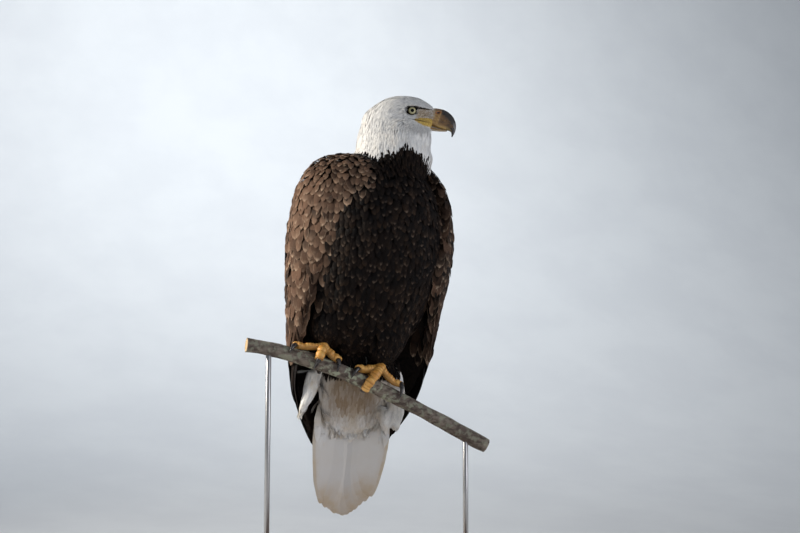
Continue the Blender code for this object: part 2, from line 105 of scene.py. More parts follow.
camera_data = bpy.data.cameras.new("camera")
camera_data.sensor_width = 36
camera_data.lens = 36 * CAMERA_DISTANCE / FRAME_WIDTH
camera = look("camera", camera_data, AIM + LENS_BACK * CAMERA_DISTANCE, AIM)
bpy.context.scene.camera = camera
for name, (at, size, watts, colour, target) in LIGHTS.items():
    light = bpy.data.lights.new(name, "AREA")
    light.shape, light.size, light.energy, light.color = "DISK", size, watts, colour
    light.spread = math.radians(100)
    look(name, light, at, target)
bpy.context.scene.view_settings.view_transform = "Standard"
world = bpy.data.worlds.new("studio")
world.use_nodes = True
world.node_tree.nodes["Background"].inputs["Color"].default_value = (0.84, 0.91, 1.0, 1)
world.node_tree.nodes["Background"].inputs["Strength"].default_value = 0.35
bpy.context.scene.world = world
print("camera at", [round(v, 3) for v in camera.location], "lens", round(camera_data.lens, 1))

# %% [markdown]
# ## Small tools for meshes
# Every piece is a grid of points or a run of rings, worked out with numpy and handed to
# Blender in one go. That is fast, repeatable and easy to reshape by changing a table.

# %% Mesh tools
def mesh_data(name, points, faces, outward=False):
    """A mesh from arrays. outward turns every face to the outside."""
    data = bpy.data.meshes.new(name)
    faces = faces.tolist() if isinstance(faces, np.ndarray) else faces
    data.from_pydata(np.asarray(points, float).tolist(), [], faces)
    if outward:
        mesh = bmesh.new()
        mesh.from_mesh(data)
        bmesh.ops.recalc_face_normals(mesh, faces=mesh.faces)
        mesh.to_mesh(data)
        mesh.free()
    return data


def mesh_object(name, points, faces, material=None, replaces=(), slot=None, outward=False):
    """A smooth shaded object that rides on the model. Without a slot it is part of the room."""
    data = mesh_data(name, points, faces, outward)
    data.shade_smooth()
    made = bpy.data.objects.new(name, data)
    bpy.context.scene.collection.objects.link(made)
    if material:
        data.materials.append(material)
    if not slot:
        return made
    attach(made, "root")
    if replaces:
        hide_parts(*replaces)
    return made


def grid_faces(rows, columns, closed=False):
    """Quads between rows of points. closed joins each row's last point to its first."""
    i, j = np.meshgrid(np.arange(rows - 1), np.arange(columns - (not closed)), indexing="ij")
    k = (j + 1) % columns
    corners = i * columns + j, i * columns + k, (i + 1) * columns + k, (i + 1) * columns + j
    return np.stack(corners, -1).reshape(-1, 4)


def capped(rings):
    """Points and faces of a closed run of rings, each end drawn in to a middle point."""
    rows, columns = rings.shape[:2]
    flat = np.vstack([rings.reshape(-1, 3), [rings[0].mean(0), rings[-1].mean(0)]])
    here = np.arange(columns)
    there, last = (here + 1) % columns, (rows - 1) * columns
    top = np.full(columns, rows * columns)
    faces = grid_faces(rows, columns, closed=True).tolist()
    faces += np.stack([here, top, there], -1).tolist()
    faces += np.stack([last + there, top + 1, last + here], -1).tolist()
    return flat, faces


def closed_object(name, rings, *more):
    return mesh_object(name, *capped(rings), *more, outward=True)


print("mesh tools ready")

# %% Number tools
def unit(v):
    return v / np.maximum(np.linalg.norm(v, axis=-1, keepdims=True), 1e-12)


def smooth_step(x, low, high):
    t = np.clip((np.asarray(x, float) - low) / (high - low), 0, 1)
    return t * t * (3 - 2 * t)


def hill(x, top, width):
    return np.exp(-(((x - top) / width) ** 2))


def turn_round(columns):
    return np.arange(columns) * 2 * math.pi / columns


print("a quarter turn is step 18 of 72:", round(float(turn_round(72)[18]), 4))

# %% [markdown]
# Numbers kept on a mesh's points tell a finish where it is: which feather, how far along it,
# how worn. They travel with the mesh, so a finish needs no picture.

# %% Numbers on points
def attribute(obj, name, *numbers):
    """One number for each point, or three kept as a colour, for a material to read."""
    if len(numbers) == 1:
        made = obj.data.attributes.new(name, "FLOAT", "POINT")
        made.data.foreach_set("value", np.asarray(numbers[0], np.float32).ravel())
        return
    values = stacked(*numbers, 1.0)
    made = obj.data.attributes.new(name, "FLOAT_COLOR", "POINT")
    made.data.foreach_set("color", values.astype(np.float32).ravel())


def ring_attribute(obj, name, *numbers):
    """The same for a closed run of rings, whose two end points take their ring's mean."""
    ringed = [[*n.ravel(), n[0].mean(), n[-1].mean()] for n in np.broadcast_arrays(*numbers)]
    attribute(obj, name, *ringed)


print("attributes ready")

# %% [markdown]
# ## Small tools for finishes
# A finish is a Principled shader fed by a few nodes. These helpers keep each finish to a
# few readable lines: a number or a socket can stand in any place.

# %% Finish tools
class Finish:
    """A material under construction."""

    def __init__(self, name, **constants):
        self.material = bpy.data.materials.new(name)
        self.material.use_nodes = True
        self.tree = self.material.node_tree
        self.shader = self.tree.nodes["Principled BSDF"]
        for socket, value in constants.items():
            self.shader.inputs[socket.replace("_", " ")].default_value = value

    def feed(self, socket, value):
        if isinstance(value, bpy.types.NodeSocket):
            self.tree.links.new(value, socket)
        else:
            short = socket.type == "RGBA" and len(value) == 3
            socket.default_value = (*value, 1) if short else value

    def node(self, kind, inputs=(), **settings):
        made = self.tree.nodes.new("ShaderNode" + kind)
        for name, value in settings.items():
            setattr(made, name, value)
        for key, value in dict(inputs).items():
            self.feed(made.inputs[key], value)
        return made

    def maths(self, operation, *values, clamp=False):
        return self.node("Math", enumerate(values), operation=operation, use_clamp=clamp).outputs[0]

    def times(self, *values, clamp=False):
        return self.maths("MULTIPLY", *values, clamp=clamp)

    def ramp(self, value, low, high, to_low=0.0, to_high=1.0):
        given = enumerate((value, low, high, to_low, to_high))
        return self.node("MapRange", given, interpolation_type="SMOOTHSTEP").outputs[0]

    def mix(self, share, a, b, blend="MIX"):
        given = {0: share, 6: a, 7: b}
        return self.node("Mix", given, data_type="RGBA", blend_type=blend).outputs[2]

    def where(self, stretch=(1, 1, 1)):
        """The point itself, as the piece's own coordinates."""
        at = self.node("TexCoord").outputs["Object"]
        return self.node("Mapping", {"Vector": at, "Scale": stretch}).outputs[0]

    def noise(self, scale, detail=3.0, vector=None):
        given = {"Vector": vector or self.where(), "Scale": scale, "Detail": detail, "Roughness": 0.55}
        return self.node("TexNoise", given).outputs["Fac"]

    def cloud(self, noise, low, high, a, b):
        """One colour fading into another. noise is a socket, or its scale and detail."""
        noise = self.noise(*noise) if isinstance(noise, tuple) else noise
        return self.mix(self.ramp(noise, low, high), a, b)

    def number(self, name):
        return self.node("Attribute", attribute_name=name).outputs["Fac"]

    def parts(self, name):
        """The three numbers kept in a colour attribute."""
        kept = self.node("Attribute", attribute_name=name).outputs["Color"]
        return tuple(self.node("SeparateColor", {0: kept}).outputs)

    def bump(self, height, distance, strength):
        given = {"Height": height, "Distance": distance * MM, "Strength": strength}
        return self.node("Bump", given).outputs[0]

    def done(self, colour, roughness=None, normal=None):
        for name, socket in (("Base Color", colour), ("Roughness", roughness), ("Normal", normal)):
            if socket is not None:
                self.feed(self.shader.inputs[name], socket)
        return self.material


print("finish tools ready")

# %% Floor and backdrop
SWEEP_START, SWEEP_RADIUS, WALL_TOP = 1.6, 4.2, 9.0  # where the floor curves up into a wall


def make_room():
    floor = Finish("pale_floor", Roughness=0.9)
    tone = floor.cloud((3.0, 4), 0.3, 0.7, (0.72, 0.73, 0.745), (0.76, 0.77, 0.78))
    bend = [
        (SWEEP_START + SWEEP_RADIUS * math.sin(a), SWEEP_RADIUS * (1 - math.cos(a)))
        for a in np.linspace(0, math.pi / 2, 40)
    ]
    profile = [(-9.0, 0.0), (0.0, 0.0), *bend, (SWEEP_START + SWEEP_RADIUS, WALL_TOP)]
    points = [(x, y, z - 0.0004) for y, z in profile for x in np.linspace(-12, 12, 9)]
    mesh_object("floor", points, grid_faces(len(profile), 9), floor.done(tone))


make_room()
print("room made")

# %% [markdown]
# ## Where the head, branch and feet are
# The head is turned to the bird's left and dips a little. Its own frame counts forward
# along the bill, sideways to its right, and up, from a point between the eyes. The branch is
# a gentle curve, and a foot's parts are placed round it by distance and angle.

# %% Head and branch frames
HEAD_AT = place(62, 78, 476)
HEAD_YAW, HEAD_PITCH = math.radians(74), math.radians(5)
BILL_WAY = Vector((math.sin(HEAD_YAW), -math.cos(HEAD_YAW), 0))
HEAD_RIGHT = BILL_WAY.cross(Vector((0, 0, 1)))
DIP = Matrix.Rotation(-HEAD_PITCH, 3, HEAD_RIGHT)
HEAD_AXES = np.array([DIP @ BILL_WAY, HEAD_RIGHT, DIP @ Vector((0, 0, 1))])
PERCH_RADIUS, PERCH_HALF = 13.5 * MM, 232 * MM
PERCH_DROP, PERCH_SLOPE = -28 * MM, (-0.436, -0.435, 0.9)


def head_out(points):
    """Head frame, millimetres, to the model."""
    return HEAD_AT + np.asarray(points, float) * MM @ HEAD_AXES


def head_in(points):
    """The model to the head frame, millimetres."""
    return (np.asarray(points) - HEAD_AT) @ HEAD_AXES.T / MM


def perch_point(x):
    rise = sum(share * x ** (power + 1) for power, share in enumerate(PERCH_SLOPE))
    return Vector((x, 2.2 * MM * math.sin(x * 34), DATUM + PERCH_DROP + rise))


def perch_up(x):
    along = (perch_point(x + MM) - perch_point(x - MM)).normalized()
    up = along.cross(Vector((0, -1, 0))).normalized()
    return up if up.z > 0 else -up


print("head at", HEAD_AT.round(3), "branch falls", round(perch_point(-0.23).z - perch_point(0.23).z, 3))

# %% [markdown]
# ## One skin under the coat
# Under its feathers a bird is one smooth form. Copies of the flesh solids are swollen a
# hair, so that they overlap, and fused by a voxel remesh. A little smoothing takes the
# facets off, and this is the outside of the coat. The skin itself is the same surface drawn
# in by the coat's depth, which is thick on the breast and almost nothing on the face. Thin
# places, such as the wing's edge, are drawn in less, so that the skin never folds over.

# %% Fuse the flesh into one outer form
FLESH = (
    "head neck trunk wing_left wing_right thigh_left thigh_right undertail_coverts "
    "shank_left shank_right"
).split()
FILLERS = "eye_left eye_right bill_upper bill_lower".split()
BILL_ROOT = 41  # the skin goes under the bill this far forward in the head frame
SWELL, VOXEL = 0.5 * MM, 3.4 * MM


def joined_flesh():
    """One mesh of the flesh solids, each swollen by a small distance."""
    mesh = bmesh.new()
    for name in FLESH + FILLERS:
        mesh.from_mesh(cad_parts[name].data)
    bmesh.ops.remove_doubles(mesh, verts=mesh.verts, dist=1e-6)
    mesh.normal_update()
    for vertex in mesh.verts:
        vertex.co += vertex.normal * SWELL
        local = head_in(np.array(vertex.co))
        if local[0] > BILL_ROOT and vertex.co.z > HEAD_AT[2] - 0.06:
            vertex.co = Vector(head_out([BILL_ROOT, local[1], local[2]]))
    data = bpy.data.meshes.new("flesh")
    mesh.to_mesh(data)
    mesh.free()
    return data


def remeshed(data, voxel, smoothing):
    """The outside of a mesh as one even net, with its facets eased."""
    obj = bpy.data.objects.new("fused", data)
    bpy.context.scene.collection.objects.link(obj)
    fuse, ease = obj.modifiers.new("fuse", "REMESH"), obj.modifiers.new("ease", "SMOOTH")
    fuse.mode, fuse.voxel_size, fuse.adaptivity = "VOXEL", voxel, 0.0
    ease.iterations, ease.factor = smoothing, 0.5
    graph = bpy.context.evaluated_depsgraph_get()
    found = bpy.data.meshes.new_from_object(obj.evaluated_get(graph))
    bpy.data.objects.remove(obj)
    return found


def read(data, what="co"):
    """The points of a mesh, or their normals, as an array."""
    found = np.zeros(len(data.vertices) * 3)
    data.vertices.foreach_get(what, found)
    return found.reshape(-1, 3)


flesh_mesh = remeshed(joined_flesh(), VOXEL, 10)
print("outer form:", len(flesh_mesh.vertices), "points")

# %% Finer mesh round the eyes
EYE_AT = np.array([0.0, 21.5, -3.0])  # head frame; the other eye is its mirror image
EYE_RADIUS = 11.0


def refine_near(data, centre, reach, times):
    """Splits the faces near a point of the head, for folds that the coarse mesh can't hold."""
    mesh, centre = bmesh.new(), Vector(head_out(centre))
    mesh.from_mesh(data)
    for _ in range(times):
        near = [e for e in mesh.edges if (e.verts[0].co - centre).length < reach]
        bmesh.ops.subdivide_edges(mesh, edges=near, cuts=1, use_grid_fill=True, smooth=0.6)
        reach *= 0.85
    mesh.to_mesh(data)
    mesh.free()


for side in (-1, 1):
    refine_near(flesh_mesh, EYE_AT * [1, side, 1] + [4, 8 * side, 0], 27 * MM, 2)
    refine_near(flesh_mesh, [24, 17 * side, -14], 24 * MM, 1)
print("with the face refined:", len(flesh_mesh.vertices), "points")

# %% [markdown]
# The eye sits under a bony brow that gives the eagle its stern look. The skin is pushed in
# to a socket, wraps the eyeball as two thick lids, and swells over it as the brow. In front
# of the eye the lores are hollow and nearly bare.

# %% Brow, socket and lids
LID = (8.0, 6.4)  # half width and half height of the opening between the lids


def eye_share(f, u):
    """1 on the edge of the lids' opening, growing outwards."""
    return np.hypot((f - EYE_AT[0]) / LID[0], (u - EYE_AT[2]) / LID[1])


def brow_line(f):
    """Height of the brow's lower edge, from behind the eye to the bill."""
    return np.interp(f, (-26, -14, -6, 0, 10, 22, 38), (-1.5, 1.2, 4.0, 5.2, 5.0, 4.6, 6.3))


def gape_line(f):
    """Height of the corner of the mouth, from under the eye to the bill."""
    return np.interp(f, (-6, 10, 24, 42), (-19.2, -20.9, -21.5, -21.5))


def shape_face(points):
    local = head_in(points)
    f, u = local[:, 0], local[:, 2]
    gone, over, gape_over = eye_share(f, u), u - brow_line(f), u - gape_line(f)
    ball = np.sqrt(np.maximum(EYE_RADIUS**2 - np.hypot(f - EYE_AT[0], u - EYE_AT[2]) ** 2, 0))
    lid = EYE_AT[1] + ball + 1.2 * hill(gone, 1.13, 0.16) - 4.5 * smooth_step(-gone, -0.99, -0.82)
    ridge = np.where(over > 0, hill(over, 0, 5.0), hill(over, 0, 1.1))
    brow = 3.6 * ridge - 1.0 * hill(over, -2.6, 2.0) * (gone > 1.15)
    brow = brow * smooth_step(f, -18, -8) * smooth_step(-f, -37, -20)
    lore = hill(f, 23, 9) * hill(u, -4, 6)
    gape = hill(gape_over, 0, 1.1) * smooth_step(f, -7, 2)
    lip = hill(gape_over, 3.6, 2.6) * smooth_step(f, 4, 18)
    for side in (-1, 1):
        out = local[:, 1] * side
        near = (out > 6) & (np.abs(f) < 46) & (np.abs(u) < 34)
        hold = smooth_step(-gone, -1.7, -1.12) * near
        out = out * (1 - hold) + lid * hold
        out = out + (brow + 0.9 * lip - 1.7 * lore - 1.3 * gape) * near
        local[:, 1] = np.where(near, out * side, local[:, 1])
    return head_out(local)


hull_points = shape_face(read(flesh_mesh))
flesh_mesh.vertices.foreach_set("co", hull_points.ravel())
flesh_mesh.update()
print("face shaped")

# %% Draw the skin in under the coat
THICKEST = 0.05
HEAD_BLEND = 425, 455  # heights between which the body's coat turns into the head's
flesh_faces = [list(p.vertices) for p in flesh_mesh.polygons]
hull = BVHTree.FromPolygons([v.co for v in flesh_mesh.vertices], flesh_faces)
hull_normals = read(flesh_mesh, "normal")


def coat_depth(points):
    """How deep the feathers lie, in millimetres."""
    face = smooth_step(head_in(points)[:, 0], -35, 8)
    z = height_of(points)
    head_like = smooth_step(z, *HEAD_BLEND)
    return (11 - 1.5 * smooth_step(z, 380, 430)) * (1 - head_like) + (5.5 - 4.7 * face) * head_like


def thickness(points, normals):
    found = np.full(len(points), THICKEST)
    for i, (point, normal) in enumerate(zip(points, normals)):
        start = Vector(point - normal * 0.2 * MM)
        at, _, _, distance = hull.ray_cast(start, Vector(-normal), THICKEST)
        if at is not None:
            found[i] = distance
    return found


skin_depth = np.minimum(coat_depth(hull_points) * MM, 0.36 * thickness(hull_points, hull_normals))
skin_points = hull_points - hull_normals * skin_depth[:, None]
skin_nodes = [n for n in FLESH if not n.startswith("shank")]
skin = mesh_object("skin", skin_points, flesh_faces, None, skin_nodes, "brown_plumage")
print("coat depth", skin_depth.min().round(4), "to", skin_depth.max().round(4), "over", len(flesh_faces))

# %% [markdown]
# ## Which feathers grow where
# A bald eagle has short scale-like feathers on the face, long pointed hackles down the
# nape, round overlapping ones on the breast, larger ones on the back and ranks of coverts
# on the wings. Each point of the skin takes its kind from the solid nearest to it, and
# its size from its height, so the sizes change smoothly and no seam shows.

# %% Owner of each point
def owners(points):
    """Name of the flesh solid nearest to each point."""
    corners, faces, names = [], [], []
    for name in FLESH:
        data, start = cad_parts[name].data, len(corners)
        corners += [v.co for v in data.vertices]
        faces += [[start + i for i in polygon.vertices] for polygon in data.polygons]
        names += [name] * len(data.polygons)
    tree = BVHTree.FromPolygons(corners, faces)
    return np.array([names[tree.find_nearest(Vector(p))[2]] for p in points])


owner = owners(hull_points)
print("points by owner:", dict(zip(*np.unique(owner, return_counts=True))))

# %% [markdown]
# The white of the head ends in a ragged line round the base of the neck, higher at the
# throat than at the shoulders. White feathers are long there and hide the roots of the
# first dark ones.

# %% The edge of the white
COLLAR = (  # angle round the neck, 0 at the breast and positive to the left, and height
    (-180, 382), (-106, 388), (-65, 385), (-43, 377), (-20, 383), (-10, 392), (8, 395), (27, 391),
    (37, 384), (50, 374), (64, 368), (90, 361), (120, 362), (150, 374), (180, 382),
)
NECK_X, NECK_F = 28, 66  # the neck's middle
DARK_BELOW = 25  # dark feathers start this far above the edge, under the long white ones


def collar(points):
    """Height above the white's lower edge, in millimetres. Negative is dark."""
    x, f = points[:, 0] / MM, -points[:, 1] / MM
    around = np.degrees(np.arctan2(x - NECK_X, f - NECK_F))
    edge = np.interp(around, *zip(*COLLAR)) + 2.5 * np.sin(np.radians(around) * 9)
    return height_of(points) - edge


def lie(points):
    """The way the feathers point: back from the bill, then down to the tail."""
    f, r, u = head_in(points).T
    z = height_of(points)
    faceward = (smooth_step(f, -62, -10) * smooth_step(z, *HEAD_BLEND))[:, None]
    tilt = 0.25 * smooth_step(-z, -330, -180) + 0.10 * smooth_step(-z, 70, 120)
    body = stacked(0.0, tilt, -1.0)
    back = -HEAD_AXES[0] - HEAD_AXES[2] * (0.25 + 0.5 * smooth_step(-u, -5, 25))[:, None]
    spread = (np.where(r > 0, 1, -1) * 0.35 * smooth_step(f, 5, 30))[:, None] * HEAD_AXES[1]
    return unit(back + spread) * faceward + unit(body) * (1 - faceward)


print("white above the collar:", int((collar(hull_points) > 0).sum()), "points")

# %% [markdown]
# ## Sowing the roots
# Feathers stand in staggered rows, never on top of each other. Candidates are scattered
# over the skin, sorted from tail to head, and each one that is kept clears the ground
# about it. Working in order packs them like roof tiles; pure chance would leave bald spots.

# %% Sow roots at a chosen spacing
flesh_mesh.calc_loop_triangles()
triangle_corners = np.array([t.vertices for t in flesh_mesh.loop_triangles])
triangle_polygons = np.array([t.polygon_index for t in flesh_mesh.loop_triangles])
CROWD = 9  # candidates for each root that fits


def point_tree(points):
    tree = KDTree(len(points))
    for i, point in enumerate(points):
        tree.insert(point, i)
    tree.balance()
    return tree


def sow(allowed, spacing_at):
    """Roots on the skin. Returns triangle numbers and weights on their corners."""
    corners = hull_points[triangle_corners]
    middle = corners.mean(1)
    keep = np.flatnonzero(allowed(middle, owner[triangle_corners[:, 0]]))
    edges = corners[keep, 1] - corners[keep, 0], corners[keep, 2] - corners[keep, 0]
    area = 0.5 * np.linalg.norm(np.cross(*edges), axis=1)
    spacing = spacing_at(middle[keep]) * MM
    counts = chance.poisson(area / spacing**2 * CROWD)
    chosen, gap = np.repeat(keep, counts), np.repeat(spacing, counts)
    a, b = np.sqrt(chance.random(len(chosen))), chance.random(len(chosen))
    weights = np.stack([1 - a, a * (1 - b), a * b], -1)
    points = (corners[chosen] * weights[..., None]).sum(1)
    order = np.argsort(points[:, 2] + chance.normal(0, 0.1, len(points)) * gap)
    tree, free, kept = point_tree(points), np.ones(len(points), bool), []
    for i in order:
        if free[i]:
            kept.append(i)
            free[[j for _, j, _ in tree.find_range(points[i], gap[i])]] = False
    return chosen[kept], weights[kept]


def at_roots(values, triangles, weights):
    """Reads a value kept at the skin's points at each root."""
    found = values[triangle_corners[triangles]]
    return (found * (weights[..., None] if found.ndim == 3 else weights)).sum(1)


print("sowing ready over", len(triangle_corners), "triangles")

# %% [markdown]
# ## Laying a vane
# A feather follows the body. Its shaft walks over the outer form a step at a time, turning
# with the lie of the coat, and is stiff enough to stand off where the body bends away
# sharply. The root starts on the skin and the tip ends on top of the coat, so each feather
# overlaps the ones below, as real ones do.

# %% Walk the shafts over the body
def nearest_outside(points):
    found = [hull.find_nearest(Vector(p)) for p in points]
    return np.array([f[0] for f in found]), np.array([f[1] for f in found])


def level(ways, normals):
    """Directions turned into the surface that has these normals."""
    return unit(ways - (ways * normals).sum(-1, keepdims=True) * normals)


def walk(starts, normals, lengths, steps, turn, drift):
    """Shaft points and outward directions, (feathers, steps + 1, 3) each."""
    at, normal = starts, normals
    heading = level(lie(at), normal)
    heading = unit(heading + np.cross(normal, heading) * chance.normal(0, drift, len(at))[:, None])
    line, up = [at], [normal]
    step = (lengths / steps)[:, None]
    for _ in range(steps):
        ahead = at + heading * step
        found, facing = nearest_outside(ahead)
        pull = found - ahead
        far = np.linalg.norm(pull, axis=-1, keepdims=True) / step
        follow = 1 - smooth_step(far, 0.3, 0.9)
        at = ahead + pull * follow
        normal = unit(normal * (1 - 0.5 * follow) + facing * 0.5 * follow)
        heading = level(heading * (1 - turn * follow) + unit(lie(at)) * turn * follow, normal)
        line.append(at)
        up.append(normal)
    return np.stack(line, 1), np.stack(up, 1)


print("walking ready")

# %% [markdown]
# A vane is a grid of points: rows along the shaft and columns across it. Its outline comes
# from one short table per kind of feather. The sheet is arched across, a little ragged at
# the rim where the barbs part, and tilted at random by a few degrees.

# %% Vane outlines
OUTLINES = {  # share of the length, share of the half width
    "contour": ((0, 0.25), (0.15, 0.6), (0.4, 0.94), (0.62, 1), (0.82, 0.86), (0.94, 0.56), (1, 0.14)),
    "covert": ((0, 0.3), (0.2, 0.75), (0.48, 1), (0.72, 0.96), (0.87, 0.72), (0.96, 0.38), (1, 0.08)),
    "soft": ((0, 0.3), (0.25, 0.8), (0.5, 1), (0.72, 0.84), (0.88, 0.5), (0.96, 0.24), (1, 0.05)),
    "tail": (
        (0, 0.3), (0.15, 0.6), (0.35, 0.9), (0.6, 1), (0.84, 0.97), (0.92, 0.84), (0.965, 0.62),
        (0.99, 0.36), (1, 0.1),
    ),
    "hackle": ((0, 0.3), (0.22, 0.82), (0.45, 1), (0.7, 0.74), (0.87, 0.38), (1, 0.04)),
    "quill": ((0, 0.12), (0.1, 0.5), (0.25, 0.85), (0.6, 1), (0.85, 0.95), (0.95, 0.66), (1, 0.15)),
}
BAKE_PATCH = 0.003  # size of one feather's patch on the flat plan
UNEVEN = 0.25 * MM  # how far one feather lies above or below its neighbours
print("vane outlines:", sorted(OUTLINES))

# %% The mesh of many vanes
def resample(line, t):
    """Reads each shaft at the shares t of its length."""
    spot = t * (line.shape[1] - 1)
    i = np.minimum(spot.astype(int), line.shape[1] - 2)
    u = (spot - i)[None, :, None]
    return line[:, i] * (1 - u) + line[:, i + 1] * u


def each(values, count):
    """One value, or one for each feather, made ready to meet rows and columns."""
    return np.broadcast_to(values, count)[:, None, None]


def vanes(name, line, up, half, rows, columns, outline, depth, arch, marks, material, slot,
          roots=None, lift=0.0, ragged=0.1, roll=0.12, replaces=(), lean=0.0):
    """One object holding a vane on every shaft. lean makes one side wider than the other."""
    count, size = len(line), (len(line), rows, columns)
    half, lean = each(half, count), each(lean, count)
    share = np.sin(np.linspace(0, 1, rows) * math.pi / 2) ** 1.1
    t, c = share[None, :, None], np.linspace(-1, 1, columns)
    width = np.interp(t, *zip(*OUTLINES[outline]))
    shaft, out = resample(line, share), unit(resample(up, share))
    way = unit(np.gradient(shaft, axis=1))
    side = unit(np.cross(way, out))
    tilt = each(chance.normal(0, roll, count), count)
    side, out = side + out * tilt, out - side * tilt
    sunk = -each(depth, count) * (1 - smooth_step(t, 0, 0.62))
    height = sunk + lift * t**2 + each(chance.normal(0, UNEVEN, count), count)
    rim = np.abs(c) ** 3
    spread = half * width * (c * (1 + lean * np.sign(c))) * (1 - ragged * rim * chance.random(size))
    droop = arch * half * width * c**2
    slip = ragged * 0.5 * half * (chance.random(size) - 0.7) * (0.25 + t) * (0.3 + rim)
    points = (
        shaft[:, :, None] + out[:, :, None] * (height - droop)[..., None]
        + side[:, :, None] * spread[..., None] + way[:, :, None] * slip[..., None]
    )
    first = each(np.arange(count) * rows * columns, count)
    faces = (grid_faces(rows, columns) + first).reshape(-1, 4)
    made = mesh_object(name, points.reshape(-1, 3), faces, material, replaces, slot)
    attribute(made, "vane", t, np.where(lean < 0, -c, c) * 0.5 + 0.5, each(chance.random(count), count))
    attribute(made, "mark", *(np.repeat(np.broadcast_to(m, count), rows * columns) for m in marks))
    if roots is None:  # a few big feathers: one strip each
        strip = (each(np.arange(count), count) + 0.5 + 0.45 * c) / count
        places = stacked(strip, 0.01 + 0.98 * t)
    else:
        places = roots[:, None, None] + stacked(c * 0.5, t - 0.5) * BAKE_PATCH
    layer = made.data.uv_layers.new(name="OFBake")
    corner = np.zeros(len(made.data.loops), int)
    made.data.loops.foreach_get("vertex_index", corner)
    layer.data.foreach_set("uv", places.reshape(-1, 2)[corner].astype(np.float32).ravel())
    return made


print("a vane's widest place:", max(OUTLINES["contour"], key=lambda pair: pair[1])[0])

# %% [markdown]
# ## A flat plan of the skin
# Every feather gets a tiny patch of its own on a flat plan of the skin, at the place of its root, so that
# its finish can be baked onto the plan. The plan is an ordinary unwrap of the part of the skin that a coat
# piece grows on.

# %% Root places on an unwrap
def skin_part(polygons):
    """The skin's faces with these numbers and their neighbours, each keeping its number."""
    mesh = bmesh.new()
    mesh.from_mesh(skin.data)
    mesh.faces.ensure_lookup_table()
    number = mesh.faces.layers.int.new("number")
    for face in mesh.faces:
        face[number] = face.index
    used = set(polygons.tolist())
    near = {f.index for i in used for edge in mesh.faces[i].edges for f in edge.link_faces}
    bmesh.ops.delete(mesh, geom=[f for f in mesh.faces if f.index not in near], context="FACES")
    data = bpy.data.meshes.new("plan")
    mesh.to_mesh(data)
    mesh.free()
    return data


def unwrap(data):
    """Unfolds a mesh and returns the flat place of every face corner."""
    plan = bpy.data.objects.new("plan", data)
    bpy.context.scene.collection.objects.link(plan)
    for other in bpy.context.selected_objects:
        other.select_set(False)
    plan.select_set(True)
    bpy.context.view_layer.objects.active = plan
    bpy.ops.object.mode_set(mode="EDIT")
    bpy.ops.mesh.select_all(action="SELECT")
    bpy.ops.uv.smart_project(angle_limit=1.2, island_margin=0.004)
    bpy.ops.object.mode_set(mode="OBJECT")
    flat = np.zeros(len(data.loops) * 2)
    data.uv_layers.active.data.foreach_get("uv", flat)
    bpy.data.objects.remove(plan)
    return flat.reshape(-1, 2)


def root_places(triangles, weights):
    """Where each root lies on a flat plan of its part of the skin, from 0 to 1."""
    polygons = triangle_polygons[triangles]
    data = skin_part(polygons)
    flat, numbers = unwrap(data), data.attributes["number"].data
    plan_of = {numbers[p.index].value: p for p in data.polygons}
    places = []
    for polygon, point in zip(polygons, at_roots(skin_points, triangles, weights)):
        face = plan_of[int(polygon)]
        share = poly_3d_calc([data.vertices[i].co for i in face.vertices], Vector(point))
        places.append(np.array(share) @ flat[face.loop_start : face.loop_start + face.loop_total])
    places = np.array(places)
    low, high = places.min(0), places.max(0)
    return 0.005 + 0.99 * (places - low) / (high - low)


print("plan ready")

# %% [markdown]
# ## Plumage finishes
# The vane's own coordinates, kept as numbers on its points, draw the barbs: fine slanting
# lines that run from the shaft to the rim. White feathers are faintly grey at the root and
# cream where they are worn. Dark ones are blackish brown, and the worn rim bleaches to tan.
# Each feather has its own tone, so neighbours stay apart.

# %% Barbs shared by all feathers
BARB_SLANT = 0.9


def barbs(coat, along, across, lines):
    """(fine lines from shaft to rim, distance from the shaft 0 to 1)."""
    off = coat.times(coat.maths("ABSOLUTE", coat.maths("SUBTRACT", across, 0.5)), 2.0)
    phase = coat.maths("MULTIPLY_ADD", off, -BARB_SLANT, along)
    phase = coat.maths("MULTIPLY_ADD", coat.noise(240.0, 2), 0.05, phase)
    return coat.maths("SINE", coat.times(phase, lines * 6.283)), off


def feathered(coat, colour, line, off, tone, shade, shaft, fine, gloss, relief):
    """The last steps that all feathers share: barbs shade the colour and raise the surface."""
    colour = coat.mix(1.0, colour, coat.ramp(line, -1.0, 1.0, *shade), "MULTIPLY")
    raised = coat.times(coat.ramp(off, shaft[0], 0.0), shaft[1])
    height = coat.maths("MULTIPLY_ADD", line, fine, raised)
    return coat.done(colour, coat.ramp(tone, 0.0, 1.0, *gloss), coat.bump(height, *relief))


print("barbs slant by", BARB_SLANT)

